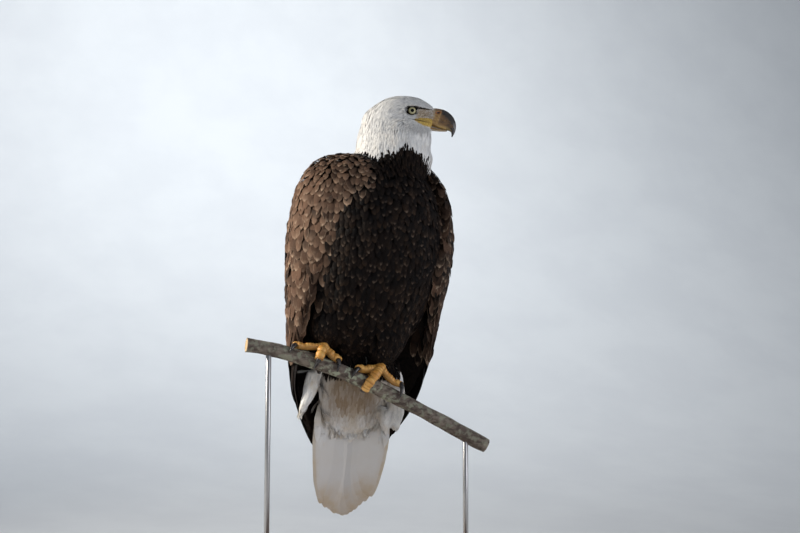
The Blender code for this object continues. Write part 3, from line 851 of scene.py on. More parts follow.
# %% White feathers
def white_plumage(name, lines=30.0, tail=False):
    coat = Finish(name, Sheen_Weight=0.05, Specular_IOR_Level=0.15)
    along, across, tone = coat.parts("vane")
    grey, cream, dusk_and_shadow = coat.parts("mark")
    line, off = barbs(coat, along, across, lines)
    clean = coat.mix(tone, (0.66, 0.665, 0.67), (0.84, 0.835, 0.82))
    cloud = coat.ramp(coat.noise(38.0, 4), 0.35, 0.75)
    if tail:
        rim = coat.maths("MAXIMUM", coat.ramp(across, 0.62, 0.30), coat.ramp(along, 0.80, 1.0))
        cream = coat.maths("MULTIPLY_ADD", rim, 0.9, cream, clamp=True)
        cloud = coat.ramp(cloud, 0.0, 1.0, 0.55, 1.0)
    worn = coat.mix(coat.times(cream, cloud, clamp=True), clean, (0.62, 0.51, 0.37))
    root = coat.times(grey, coat.ramp(along, 0.9, 0.1), clamp=True)
    cool = coat.mix(root, worn, (0.50, 0.505, 0.52))
    # dusk_and_shadow tints the white tan: the lores' tan hairs and a real stain, and also painted shadow
    # below the body and under the brow. Above 1 it turns near black, for the eye's dark ring and painted
    # shadow under the brow.
    dusky = coat.mix(coat.times(dusk_and_shadow, 1.0, clamp=True), cool, (0.27, 0.20, 0.135))
    ink = coat.mix(coat.ramp(dusk_and_shadow, 1.0, 2.4), dusky, (0.016, 0.013, 0.012))
    return feathered(coat, ink, line, off, tone, (0.90, 1.0), (0.10, 2.0), 0.35, (0.6, 0.75), (0.12, 0.6))


WHITE = white_plumage("white_feathers")
print("finish:", WHITE.name)

# %% Brown feathers
BODY_TONES = (0.0034, 0.0027, 0.0029), (0.0150, 0.0092, 0.0072), (0.15, 0.11, 0.085), (0.085, 0.050, 0.030)
QUILL_TONES = (0.0055, 0.0048, 0.0052), (0.038, 0.025, 0.019), (0.10, 0.075, 0.06), (0.085, 0.050, 0.030)
COVERT_TONES = (0.007, 0.005, 0.0045), (0.130, 0.075, 0.050), (0.42, 0.31, 0.225), (0.225, 0.145, 0.100)


def brown_plumage(name, tones, lines=26.0, edges=0.0):
    """tones are dark, brown, rim and pale. edges is how far a pale rim runs back from the tip."""
    dark, brown, rim, pale = tones
    coat = Finish(name, Specular_IOR_Level=0.06)
    along, across, tone = coat.parts("vane")
    warm, fringe, wear = coat.parts("mark")
    line, off = barbs(coat, along, across, lines)
    mottle = coat.ramp(coat.noise(30.0, 4), 0.3, 0.7, -0.15, 0.2)
    uneven = coat.maths("MULTIPLY_ADD", tone, 0.35, mottle)
    share = coat.maths("ADD", uneven, coat.maths("SUBTRACT", warm, 0.15), clamp=True)
    worn = coat.times(wear, coat.ramp(along, 0.45, 1.0), clamp=True)
    bleach = coat.mix(worn, coat.mix(share, dark, brown), pale)
    tip = coat.times(coat.ramp(along, 0.80, 0.97), coat.ramp(off, 1.0, 0.35))
    edge = coat.times(coat.ramp(off, 0.72, 1.0, 0.0, edges), coat.ramp(along, 0.4, 0.85))
    broken = coat.ramp(coat.noise(130.0, 3), 0.36, 0.6, 0.25, 1.0)
    rimmed = coat.times(coat.times(coat.maths("MAXIMUM", tip, edge), broken), fringe, clamp=True)
    edged = coat.mix(rimmed, bleach, rim)
    return feathered(coat, edged, line, off, tone, (0.72, 1.1), (0.09, 2.2), 0.4, (0.5, 0.65), (0.14, 0.7))


BROWN = brown_plumage("body_feathers", BODY_TONES)
COVERT = brown_plumage("wing_covert_feathers", COVERT_TONES, edges=0.9)
print("finishes:", BROWN.name, COVERT.name)

# %% Skin finish
def skin_finish():
    """The skin repeats the coat's colours, so nothing pale shows between dark feathers."""
    hide = Finish("feathered_skin", Roughness=0.85, Specular_IOR_Level=0.2)
    fine = hide.noise(160.0, 4)
    dark = hide.cloud(fine, 0.3, 0.7, (0.008, 0.0065, 0.006), (0.022, 0.015, 0.012))
    pale = hide.cloud(fine, 0.3, 0.7, (0.50, 0.50, 0.50), (0.70, 0.695, 0.68))
    hairy = hide.cloud((600.0, 3), 0.35, 0.65, (0.13, 0.105, 0.075), (0.36, 0.31, 0.24))
    flesh = hide.cloud((420.0, 3), 0.35, 0.7, (0.36, 0.23, 0.06), (0.60, 0.42, 0.11))
    lid = hide.cloud((500.0, 2), 0.4, 0.6, (0.008, 0.007, 0.006), (0.022, 0.017, 0.013))
    white, mouth, rim = hide.parts("markings_and_shade")
    coat = hide.mix(hide.number("lores"), hide.mix(white, dark, pale), hairy)
    # rim paints the black lids, and also painted shade under the brow and along the gape's crease, in the
    # lid colour.
    colour = hide.mix(rim, hide.mix(mouth, coat, flesh), lid)
    return hide.done(colour, normal=hide.bump(hide.noise(700.0, 3), 0.25, 0.7))


def mouth_share(f, u):
    """1 on the yellow flesh at the corner of the mouth."""
    low = np.interp(f, (6, 18, 28, 44), (-22.5, -28, -30.6, -30.6))
    high = np.interp(f, (6, 20, 40), (-18.5, -14, -10.5))
    inside = smooth_step(u, low - 0.8, low + 0.8) * smooth_step(-u, -high - 0.8, -high + 0.8)
    return inside * smooth_step(f, 5, 8)


def mark_skin():
    f, r, u = head_in(hull_points).T
    z = height_of(hull_points)
    white = smooth_step(collar(hull_points), -2, 3)
    white = np.maximum(white, (owner == "undertail_coverts") * smooth_step(-z, -34, -16))
    side = (np.abs(r) > 7) * smooth_step(z, 420, 440)
    lores = smooth_step(f, 10, 18) * smooth_step(brow_line(f) - u, -1, 1) * smooth_step(u, -24, -18)
    # The brow band is painted shadow under the brow and the gape line is painted shade in the mouth's
    # crease; the lids are truly black. All three go into rim.
    deep = np.interp(f, (-6, 8, 14, 24, 36), (1.3, 2.6, 2.4, 1.1, 0.8))
    brow = hill(u + 0.9 * deep, brow_line(f), deep) * smooth_step(f, -16, -4) * smooth_step(-f, -39, -30)
    gape = hill(u, gape_line(f), 0.8) * smooth_step(f, -6, 1) * smooth_step(-f, -44, -20)
    lids = smooth_step(-eye_share(f, u), -1.34, -1.16)
    rim = np.maximum(np.maximum(lids, 0.92 * brow), 0.9 * gape)
    attribute(skin, "markings_and_shade", white, mouth_share(f, u) * side, rim * side)
    attribute(skin, "lores", lores * side)
    skin.data.materials.append(skin_finish())


mark_skin()
print("skin marked")

# %% [markdown]
# ## The coat, region by region
# Each region is one piece: where it grows, how far apart, how long and how wide. Numbers
# are millimetres, read off along the body with a short table, so that the face feathers of
# 6 mm grow into 40 mm hackles without a step.

# %% Grow one coat piece
def grow(name, allowed, sizes, outline, rows, columns, material, slot, marks,
         steps=6, arch=0.3, drift=0.1, lift=0.0, ragged=0.12, roll=0.12, turn=0.3, steep=2.0):
    """sizes are rules for spacing, length and half width. steep drops the roots where the
    skin faces along the coat's lie, as under a tuft."""
    spacing, length, half = sizes
    triangles, weights = sow(allowed, spacing)
    starts = at_roots(hull_points, triangles, weights)
    normals = unit(at_roots(hull_normals, triangles, weights))
    keep = np.abs((lie(starts) * normals).sum(-1)) < steep
    triangles, weights, starts, normals = (a[keep] for a in (triangles, weights, starts, normals))
    depth, count = at_roots(skin_depth, triangles, weights), len(starts)
    vary = 1 + chance.normal(0, 0.09, count)
    line, up = walk(starts, normals, length(starts) * MM * vary, steps, turn, drift)
    width = half(starts) * MM * (1 + chance.normal(0, 0.08, count))
    made = vanes(name, line, up, width, rows, columns, outline, depth, arch, marks(starts), material,
                 slot, root_places(triangles, weights), lift, ragged, roll)
    print(f"{name}: {count} feathers, {len(made.data.polygons) * 2} triangles")


def by_height(heights, *tables):
    """Rules that read a table by height. A single number holds everywhere."""
    return [lambda p, t=t: np.interp(height_of(p), heights, np.broadcast_to(t, len(heights)))
            for t in tables]


def by_head(*tables):
    """Rules that read a table by how far back from the bill a point is."""
    return [lambda p, t=t: np.interp(head_in(p)[:, 0], (-60, -25, 5, 35), t[::-1]) for t in tables]


def open_face(points):
    """False on the eyes, the fleshy corner of the mouth and the bill's base."""
    f, r, u = head_in(points).T
    side = np.abs(r) > 9
    lids = (eye_share(f, u) < 1.28) & side
    beside_mouth = (np.abs(u - gape_line(f)) < 1.3) & (f > -6) & (f < 12)
    return (f < 40.5) & ~lids & ~(((mouth_share(f, u) > 0.4) | beside_mouth) & side)


print("ready to grow")

# %% Marks of the pale feathers
def face_marks(points):
    """Tan hairs on the lores, a dark ring round the eye and painted shadow under the brow, white elsewhere.
    """
    f, r, u = head_in(points).T
    lores = smooth_step(f, 9, 17) * smooth_step(brow_line(f) - u, -0.5, 1.5) * smooth_step(u, -24, -19)
    deep = np.interp(f, (-22, -6, 8, 14, 24, 36), (1.2, 1.4, 2.4, 2.2, 1.1, 0.8))
    # under is painted shadow below the brow; ringed darkens the ring round the eye.
    under = hill(u + 0.8 * deep, brow_line(f), deep) * smooth_step(f, -26, -4)
    ringed = smooth_step(-eye_share(f, u), -1.5, -1.22)
    dark = np.clip(np.maximum(under, ringed) * (np.abs(r) > 12), 0, 1)
    hairy = lores * (0.15 + 0.85 * chance.random(len(points)))
    dusk_and_shadow = np.maximum(hairy, dark) + 2.0 * (dark > 0.55)
    return 0.1 + 0.2 * chance.random(len(points)), 0.9 * lores + 0.1, dusk_and_shadow


def pale_marks(grey):
    """Clean white feathers with some grey at the root and a little cream."""
    def marks(points):
        a, b, _ = chance.random((3, len(points)))
        return grey + 0.2 * a, 0.3 * b, 0.0
    return marks


print("marks ready")

# %% Head feathers
def on_face(points, owners_):
    return (head_in(points)[:, 0] > -8) & (height_of(points) > 425) & open_face(points)


def on_crown(points, owners_):
    return (head_in(points)[:, 0] <= -8) & (height_of(points) > 440)


def on_neck(points, owners_):
    return (height_of(points) <= 440) & (collar(points) > 24)


WHITE_COAT = WHITE, "white_plumage"
grow("coat_face", on_face, by_head((1.4, 1.8, 2.3, 2.4), (4.0, 6.0, 11, 12), (0.6, 0.9, 1.5, 1.6)),
     "contour", 6, 3, *WHITE_COAT, face_marks, steps=4, roll=0.16, drift=0.14, arch=0.2)
grow("coat_crown", on_crown, by_head((1.9, 1.9, 2.2, 2.6), (12, 12, 19, 28), (1.2, 1.2, 1.5, 1.9)),
     "hackle", 7, 4, *WHITE_COAT, pale_marks(0.6), steps=5, roll=0.04, drift=0.09, arch=0.08)
grow("coat_neck", on_neck, by_height((395, 440), (3.0, 2.6), (32, 27), (3.0, 2.3)), "hackle", 9, 4,
     *WHITE_COAT, pale_marks(0.15), steps=7, roll=0.04, drift=0.07, lift=0.1 * MM, arch=0.08)

# %% [markdown]
# The body feathers are blackish, each with a small pale tip, and lie in scale-like rows.
# Those of the back are larger. The trousers on the legs are looser and narrower.

# %% Marks of the dark feathers
def dark_marks(warm, fringe, wear=0.3, spots=0.6, rise=0.0, inner=1.0, spread=0.12):
    """A maker of marks. spots is the share of feathers whose tip is clearly pale. rise lightens the
    feathers higher up, as painted sunlight, and inner darkens those near the body's middle, as painted
    shade.
    """
    def marks(points):
        count = len(points)
        # rise paints sunlight on the upper feathers; inner paints shade on those near the body's middle.
        tone = warm + rise * smooth_step(height_of(points), 200, 330)
        tone *= np.interp(np.abs(points[:, 0] / MM), (84, 150), (inner, 1.0))
        bright = (chance.random(count) < spots) * fringe * (0.2 + 0.8 * chance.random(count) ** 1.6)
        tone = np.clip(tone + chance.normal(0, spread, count), 0, 1)
        return tone, bright, wear * chance.random(count) ** 2
    return marks


def near_front(points):
    return points[:, 1] < -12 * MM


def on_trunk(points, owners_):
    owned = np.isin(owners_, ("trunk", "neck", "head"))
    return owned & (collar(points) <= DARK_BELOW) & (height_of(points) > 30)


print("dark marks ready")

# %% Body feathers
BROWN_COAT = BROWN, "brown_plumage"


def on_bib(points, owners_):
    return on_trunk(points, owners_) & (collar(points) > np.where(near_front(points), -26, -42))


def on_breast(points, owners_):
    return on_trunk(points, owners_) & near_front(points) & (collar(points) <= -24)


def on_back(points, owners_):
    """The upper edge is random, so the bib's small feathers and these larger ones mingle."""
    below = collar(points) <= -14 - 26 * chance.random(len(points))
    return on_trunk(points, owners_) & ~near_front(points) & (height_of(points) > 110) & below


def on_legs(points, owners_):
    legs = [f"{part}_{word}" for part in ("thigh", "shank") for word, _ in SIDES]
    return np.isin(owners_, legs) & (height_of(points) > 8)


grow("coat_bib", on_bib, by_height((0, 400), 5.0, 27.0, 3.9), "hackle", 9, 5, *BROWN_COAT,
     dark_marks(0.1, 0.4, spots=0.3), roll=0.16, drift=0.12, lift=0.8 * MM)
grow("coat_breast", on_breast, by_height((60, 330, 400), (8.4, 8.0, 6), (36, 32, 24), (7.4, 6.8, 5.0)),
     "contour", 9, 7, *BROWN_COAT, dark_marks(0.08, 0.75, spots=0.5), roll=0.18, drift=0.16, lift=1.0 * MM)
grow("coat_back", on_back, by_height((60, 300, 400), (14, 11, 7), (58, 44, 28), (13, 10, 6)),
     "covert", 9, 7, COVERT, "brown_plumage", dark_marks(0.35, 0.5, spots=0.5), roll=0.14, lift=1.5 * MM)
grow("coat_trousers", on_legs, by_height((15, 90), 5.2, (16, 34), (2.8, 6)), "contour", 8, 5, *BROWN_COAT,
     dark_marks(0.1, 0.5, spots=0.4), roll=0.2, drift=0.16, lift=1.5 * MM, ragged=0.2)

# %% [markdown]
# The folded wing shows ranks of coverts: small ones on the wrist, then median ones, then the greater
# coverts over the roots of the quills. They are a warmer brown than the body, bleached at the rim. The wing
# on the sunny side is painted paler, warmer and more worn than the other, lightest high up, as painted
# sunlight, and darker near the body as painted shade.

# %% Wing coverts
COVERT_FLOOR = 62  # below this height the quills take over
# The right wing faces the sun: its warmer, paler, more worn marks, lighter higher up, are painted sunlight,
# and its darkening near the body is painted shade.
WING_MARKS_WITH_SUN_AND_SHADE = {
    "right": dark_marks(0.62, 1.0, 0.9, 0.85, rise=0.45, inner=0.3, spread=0.2),
    "left": dark_marks(0.12, 0.9, spots=0.8),
}
WING_SIZES = by_height((60, 160, 300, 390), (13, 12.5, 10.5, 7), (52, 48, 38, 24), (11.5, 11, 9, 5.8))


def on_wing(word):
    def allowed(points, owners_):
        owned = (owners_ == f"wing_{word}") & (height_of(points) > COVERT_FLOOR)
        return owned & (collar(points) <= DARK_BELOW)
    return allowed


for word, side in SIDES:
    grow(f"coat_wing_{word}", on_wing(word), WING_SIZES, "covert", 11, 9, COVERT, "wing_plumage",
         WING_MARKS_WITH_SUN_AND_SHADE[word], roll=0.15, lift=1.5 * MM, arch=0.12, drift=0.16)

# %% [markdown]
# Under the tail grow long soft white coverts, and loose tufts of them hang beside it.

# %% Undertail feathers
def soft_marks_with_shadow(points):
    """Dusky tan in the middle below the vent, partly a real brown stain and partly painted shadow of the
    body and branch; clean towards the tips and the sides.
    """
    middle = np.exp(-(((points[:, 0] / MM + 16) / 66) ** 4))
    # darker in the middle and higher up: partly a real brown stain, partly painted shadow of the body,
    # branch and feet.
    dusk_and_shadow = middle * smooth_step(height_of(points), -102, -28)
    grey = 0.1 + 0.15 * chance.random(len(points))
    return grey, 0.3 + 0.4 * middle, dusk_and_shadow * (0.8 + 0.3 * chance.random(len(points)))


def tuft_marks(points):
    a, b = chance.random((2, len(points)))
    return 0.05 * a, 0.35 + 0.4 * b, 0.0


def under_tail(points, clear, loose):
    """True at least clear millimetres in front of the tail's middle, on the loose tufts or off."""
    tuft = smooth_step(np.abs(points[:, 0] / MM + 6), 66, 84) >= 0.5
    middle = np.interp(height_of(points), (-130, 22), (-99, -64))
    return (-points[:, 1] / MM > middle + clear) & (tuft == loose)


def on_vent(points, owners_):
    owned = np.isin(owners_, ("undertail_coverts", "trunk"))
    return owned & (np.abs(height_of(points) - 14) < 18) & under_tail(points, 8, False)


def on_undertail(points, owners_):
    return (owners_ == "undertail_coverts") & (height_of(points) < 8) & under_tail(points, 0, False)


def on_tufts(points, owners_):
    z = height_of(points)
    owned = (owners_ == "undertail_coverts") & under_tail(points, 0, True)
    return owned & (z < 24) & (z > np.where(points[:, 0] < 0, -80, -104))


UNDERTAIL_SIZES = by_height((-120, -60, 10), 5.0, (16, 40, 56)) + by_height((-120, 10), (4.2, 6.6))
STRAIGHT = {"steps": 2, "turn": 0.0, "ragged": 0.08}
grow("coat_vent", on_vent, by_height((0, 400), 3.2, 20.0, 2.0), "soft", 8, 4, *BROWN_COAT,
     dark_marks(0.05, 0.2, spots=0.2), roll=0.15, drift=0.25, ragged=0.25)
grow("coat_undertail", on_undertail, UNDERTAIL_SIZES, "soft", 11, 7, *WHITE_COAT, soft_marks_with_shadow,
     roll=0.04, drift=0.06, steep=0.55, **STRAIGHT)
grow("coat_tufts", on_tufts, by_height((-110, -70, 0), 3.2, (12, 24, 34), (3.0, 3.8, 4.4)), "soft", 9, 5,
     *WHITE_COAT, tuft_marks, roll=0.05, drift=0.05, steep=0.6, **STRAIGHT)

# %% [markdown]
# ## Quills
# The wing's long quills and the tail feathers are few and large, so each is laid one by one along the
# folded wing's own surface: a table gives the wing's section at each height, and a quill runs from one
# place on it to another.

# %% The folded wing's surface
WING = np.array([  # height, forward, half width, reach forward and back, first and last angle
    (394, 46, 60, 28, 26, 58, 116),
    (386, 45, 98, 56, 50, 46, 130),
    (371, 44, 118, 78, 72, 39, 142),
    (347, 41, 135, 97, 92, 36, 151),
    (315, 35, 149, 108, 104, 39, 158),
    (250, 20, 160, 112, 113, 45, 166),
    (186, 3, 159, 106, 113, 46, 171),
    (131, -12, 152, 98, 110, 52, 175),
    (76, -26, 144, 84, 102, 61, 177),
    (22, -40, 137, 70, 89, 72, 178),
    (-33, -55, 124, 54, 70, 83, 178),
    (-66, -65, 110, 43, 57, 89, 178),
    (-104, -77, 92, 33, 44, 93, 178),
    (-150, -92, 73, 20, 29, 97, 178),
    (-184, -103, 46, 12, 21, 100, 178),
])[::-1]
SWAY = ((-180, -15), (200, 0), (290, -2), (370, -8), (400, -11))  # height, shift sideways
TWIST_FROM, TWIST_TO, TWIST = 186, 352, math.radians(30)


def columns_at(table, z):
    return (np.interp(z, table[:, 0], column) for column in table.T[1:])


def on_wing_surface(side, z, share, proud):
    """A point of the folded wing, proud millimetres outside it. share is 0 at its front."""
    f, half, front, back, first, last = columns_at(WING, z)
    twist = TWIST * np.clip((z - TWIST_FROM) / (TWIST_TO - TWIST_FROM), 0, 1)
    angle = np.radians(first + (last - first) * share) + side * twist * (1 - share)
    reach = np.where(np.cos(angle) > 0, front, back)
    flat = stacked(half * np.sin(angle), reach * np.cos(angle))
    outward = unit(flat / stacked(half**2, reach**2))
    x, forward = np.moveaxis(flat + outward * proud[..., None], -1, 0)
    normal = stacked(side * outward[..., 0], -outward[..., 1], 0.0)
    return place(side * x + np.interp(z, *zip(*SWAY)), f + forward, z), normal


print("wing surface from", WING[0, 0], "to", WING[-1, 0], "mm")

# %% Lay quills on the wing
QUILL = brown_plumage("quill_feathers", QUILL_TONES, lines=70.0, edges=0.6)
ROOT_SINK = 9  # the roots lie this deep under the coverts


def quills(word, side, rank, count, roots, tips, half, proud, outline="quill", rows=26, inner=0.0,
           warm=0.12, material=QUILL):
    """A rank of quills. roots and tips give (height, share) of the first and the last."""
    i, s = np.linspace(0, 1, count)[:, None], np.linspace(0, 1, 20)[None]
    z0, u0 = (first + (last - first) * i for first, last in zip(*roots))
    z1, u1 = (first + (last - first) * i**0.85 for first, last in zip(*tips))
    z, share = z0 + (z1 - z0) * s, u0 + (u1 - u0) * s**1.3
    layer = proud[0] + (proud[1] - proud[0]) * i - ROOT_SINK * (1 - smooth_step(s, 0, 0.4)) * (inner == 0)
    line, up = on_wing_surface(side, z, share, layer - inner)
    widths = half * MM * (1 + chance.normal(0, 0.04, count))
    vanes(f"{rank}_{word}", line, -up if inner else up, widths, rows, 9, outline, 1.0 * MM, 0.12,
          (warm, 0.35, 0.1), material, "wing_plumage", ragged=0.03, roll=0.03)


for word, side in SIDES:
    quills(word, side, "primaries", 9, ((40, 0.05), (60, 0.5)), ((-96, 0.05), (-178, 0.62)), 15, (0.0, 1.2))
    quills(word, side, "secondaries", 12, ((90, 0.25), (120, 0.94)), ((-70, 0.30), (-20, 0.97)), 20,
           (1.0, 3.0), warm=0.5)
    # The sunny right wing's greater coverts are warmer than the left's: painted sunlight.
    quills(word, side, "greater_coverts", 17, ((110, 0.05), (130, 0.96)), ((16, 0.05), (48, 0.97)), 13,
           (1.5, 4.0), outline="covert", rows=16, warm=0.4 if side < 0 else 0.2, material=COVERT)
    quills(word, side, "underwing", 9, ((60, 0.10), (40, 0.90)), ((-95, 0.08), (-170, 0.80)), 18,
           (0.0, 0.5), inner=9.0)
print("quills laid")

# %% [markdown]
# The closed tail is a fan of twelve rectrices. The outer ones lie beneath, so from the
# front they show whole and the middle pair peeps out between them.

# %% The tail's surface
TAIL = np.array([  # height, sideways, forward, half width, how far the sides bend forward
    (22, -4, -64, 32, 2),
    (-12, -6, -72, 48, 5),
    (-48, -8, -80, 64, 9),
    (-88, -10, -89, 73, 12),
    (-130, -11, -99, 74, 14),
    (-168, -12, -108, 70, 13),
    (-204, -14, -116, 64, 11),
    (-234, -14, -123, 54, 8),
    (-256, -15, -128, 38, 4),
    (-273, -10, -132, 12, 1),
])[::-1]
TIP_FROM, TIP_HALF, TIP_NARROWS = -204, 64, 0.26  # below here the fan narrows evenly
TAIL_TOP, TAIL_HOLLOW = 15, 74
TAIL_WHITE = white_plumage("tail_feathers", lines=90.0, tail=True)


def on_tail(z, across, raised):
    """A point of the tail. across runs -1 to 1 to its left; raised is towards the front."""
    x, f, half, arch = columns_at(TAIL, z)
    half = np.where(z < TIP_FROM, TIP_HALF + (z - TIP_FROM) * TIP_NARROWS, half)
    return place(x + half * across, f + arch * across**2 + raised, z)


print("tail surface from", TAIL[0, 0], "to", TAIL[-1, 0], "mm")

# %% Lay the tail feathers
RECTRIX_PLACES = (0.92, 0.75, 0.58, 0.42, 0.26, 0.10)  # shafts, from the outermost inwards
RECTRIX_TIPS = (-250, -257, -262, -266, -270, -272)


def make_tail():
    across = np.array([side * a for side in (-1, 1) for a in RECTRIX_PLACES])
    outward, count = np.abs(across), len(across)
    tip = np.tile(RECTRIX_TIPS, 2) + 13 * outward * (across > 0) + chance.normal(0, 1.0, count)
    s = np.linspace(0, 1, 26)[None]
    z = TAIL_TOP + (tip[:, None] - TAIL_TOP) * s
    reach = across[:, None] * (0.66 + 0.34 * smooth_step(s, 0, 0.22))
    sunk = 8 * (1 - smooth_step(s, 0.26, 0.44))  # the roots lie deep under the coverts
    raised = (outward[:, None] - 0.4) * 2.4 + (across[:, None] > 0) * 0.6 - sunk
    line = on_tail(z, reach, raised)
    outer, inner = 17 - 10.5 * outward, 25 + 27 * outward  # widths of the two sides of each vane
    lean = np.sign(across) * (inner - outer) / (inner + outer)
    hollow = -np.sign(across) * 10 * (2 * outward - inner / TAIL_HOLLOW) / TAIL_HOLLOW
    up = stacked(hollow[:, None] + 0 * s, -0.96, -0.22)
    vanes("rectrices", line, unit(up), (inner + outer) / 2 * MM, 46, 17, "tail", 0.5 * MM, 0.04,
          (0.15, 0.15, 0.05), TAIL_WHITE, "white_plumage", ragged=0.04, roll=0.004,
          replaces=("tail",), lean=lean)


def make_tail_coverts():
    """The last undertail coverts lie flat on the tail and hide where its feathers begin."""
    rows = enumerate((-40, -48, -56, -65, -74, -83, -92, -100))
    roots = np.array([(z, a + 0.06 * (row % 2)) for row, z in rows for a in np.linspace(-0.94, 0.90, 15)])
    roots += chance.normal(0, 1, roots.shape) * (3.0, 0.02)
    s = np.linspace(0, 1, 10)[None]
    outward = np.abs(roots[:, 1:])
    z = roots[:, :1] - (50 - 10 * outward) * s
    start = np.interp(roots[:, :1], (-102, -72, -40), (3.8, 9.5, 12.0))  # the upper ones leave the bulge
    raised = (outward - 0.4) * 2.4 + start + (1.6 - start) * smooth_step(s, -0.1, 1.0)
    line = on_tail(z, roots[:, 1:] * (1 - 0.03 * s), raised)
    up = unit(np.broadcast_to([0.0, -0.97, -0.22], line.shape))
    vanes("coat_tail_coverts", line, up, 7.0 * MM, 12, 7, "soft", 5 * MM, 0.1, soft_marks_with_shadow(line[:, 0]),
          *WHITE_COAT, ragged=0.08, roll=0.03)


make_tail()
make_tail_coverts()
print("tail made")

# %% [markdown]
# ## The bill
# The upper bill is a run of sections between a curved outer edge, the culmen, and an inner
# edge that shuts over the lower bill. The waxy cere wraps its base and holds the nostril.
# Towards the ridge and the hook the amber horn turns nearly black.

# %% Sections of the bill
UPPER_BILL = [  # outer edge (forward, up), inner edge (forward, up), half width
    (29, 12.0, 27, -20.0, 14.5),
    (40, 12.4, 36, -22.4, 13.5),
    (49, 12.4, 45, -24.4, 12.2),
    (58.5, 11.2, 54, -26.0, 10.8),
    (68, 7.2, 62, -27.2, 9.2),
    (76.5, 0.4, 68.5, -28.0, 7.6),
    (82.3, -8.6, 73, -28.8, 6.2),
    (84.8, -18.6, 76.4, -31.0, 4.4),
    (84.0, -29.5, 77.6, -35.0, 2.7),
    (79.6, -40.0, 77.8, -39.2, 0.8),
]
LOWER_BILL = [
    (6, -21.0, 8, -27.0, 13.0),
    (24, -23.2, 25, -29.2, 12.4),
    (40, -25.0, 40, -30.2, 10.2),
    (54, -26.8, 54, -30.4, 7.8),
    (63, -27.9, 63.5, -30.2, 5.2),
    (68.4, -28.4, 68.6, -29.8, 2.2),
]
NOSTRIL_F, NOSTRIL_U = 49.5, 2.2
CERE_END = 56.5  # where the cere meets the horn on the culmen


def through(rows, count):
    """Rows of numbers read at even steps along a smooth curve through them."""
    rows = np.array(rows, float)
    padded = np.vstack([2 * rows[0] - rows[1], rows, 2 * rows[-1] - rows[-2]])
    t = np.linspace(0, len(rows) - 1, count)
    i = np.minimum(t.astype(int), len(rows) - 2)
    u = (t - i)[:, None]
    a, b, c, d = (padded[i + k] for k in range(4))
    bend = (2 * a - 5 * b + 4 * c - d) * u**2 + (3 * b - a - 3 * c + d) * u**3
    return 0.5 * (2 * b + (c - a) * u + bend)


def rounded(value, power):
    return np.sign(value) * np.abs(value) ** (2 / power)


def bill_grid(table, rings, columns):
    """Points of a bill's sections in the head frame, and how far up each one is."""
    flat, angle = through(table, rings), turn_round(columns)
    power = np.where(np.cos(angle) > 0, 2.0, 2.9)
    up = rounded(np.cos(angle), power)
    side = rounded(np.sin(angle), power) * (1 - 0.12 * np.maximum(np.cos(angle), 0))
    middle, reach = (flat[:, 0:2] + flat[:, 2:4]) / 2, (flat[:, 0:2] - flat[:, 2:4]) / 2
    at = middle[:, None] + reach[:, None] * up[None, :, None]
    return at[..., 0], flat[:, 4:5] * side, at[..., 1], up


print("bill sections:", len(UPPER_BILL), "and", len(LOWER_BILL))

# %% Horn
def bill_finish():
    horn = Finish("bill_horn", Coat_Weight=0.25, Coat_Roughness=0.25, Subsurface_Weight=0.08,
                  Subsurface_Scale=0.004, Subsurface_Radius=(1.0, 0.5, 0.2))
    cere, ridge, tip = horn.parts("bill")
    nostril = horn.number("nostril")
    grain = horn.noise(90.0, 5, horn.where((1, 1, 2.5)))
    amber = horn.cloud(grain, 0.3, 0.7, (0.15, 0.075, 0.026), (0.34, 0.185, 0.062))
    smoke = horn.maths("ADD", ridge, horn.ramp(grain, 0.35, 0.7, 0.0, 0.75), clamp=True)
    edge = horn.mix(tip, horn.mix(smoke, amber, (0.020, 0.015, 0.013)), (0.52, 0.34, 0.11))
    wax = horn.cloud((260.0, 3), 0.35, 0.7, (0.24, 0.135, 0.045), (0.42, 0.26, 0.09))
    waxed = horn.mix(cere, edge, horn.mix(horn.times(ridge, 0.75), wax, (0.10, 0.045, 0.018)))
    patchy = horn.ramp(horn.noise(420.0, 3), 0.35, 0.6, 0.25, 1.0)
    downy = horn.mix(horn.times(horn.number("hairs"), patchy, clamp=True), waxed, (0.40, 0.35, 0.29))
    rusty = horn.mix(horn.ramp(nostril, 0.0, 0.5), downy, (0.30, 0.10, 0.02))
    # Near black in the slit is painted shade inside the nostril's opening; the rusty ring round it is the
    # cere's own colour.
    colour = horn.mix(horn.ramp(nostril, 0.55, 0.9), rusty, (0.012, 0.008, 0.006))
    fine = horn.maths("MULTIPLY_ADD", horn.noise(600.0, 3), cere, horn.times(grain, 0.5))
    rough = horn.ramp(horn.noise(150.0, 3), 0.3, 0.7, 0.26, 0.42)
    return horn.done(colour, rough, horn.bump(fine, 0.25, 0.6))


BILL = bill_finish()
print("horn:", BILL.name)

# %% Make the bill
def nostril_at(f, r, u):
    """(distance from the slanting slit of the nostril, 1 on the bill's sides)."""
    f, u = f - NOSTRIL_F, u - NOSTRIL_U
    return np.hypot(f * 0.94 + u * 0.34, (u * 0.94 - f * 0.34) / 0.5), np.abs(r) > 3


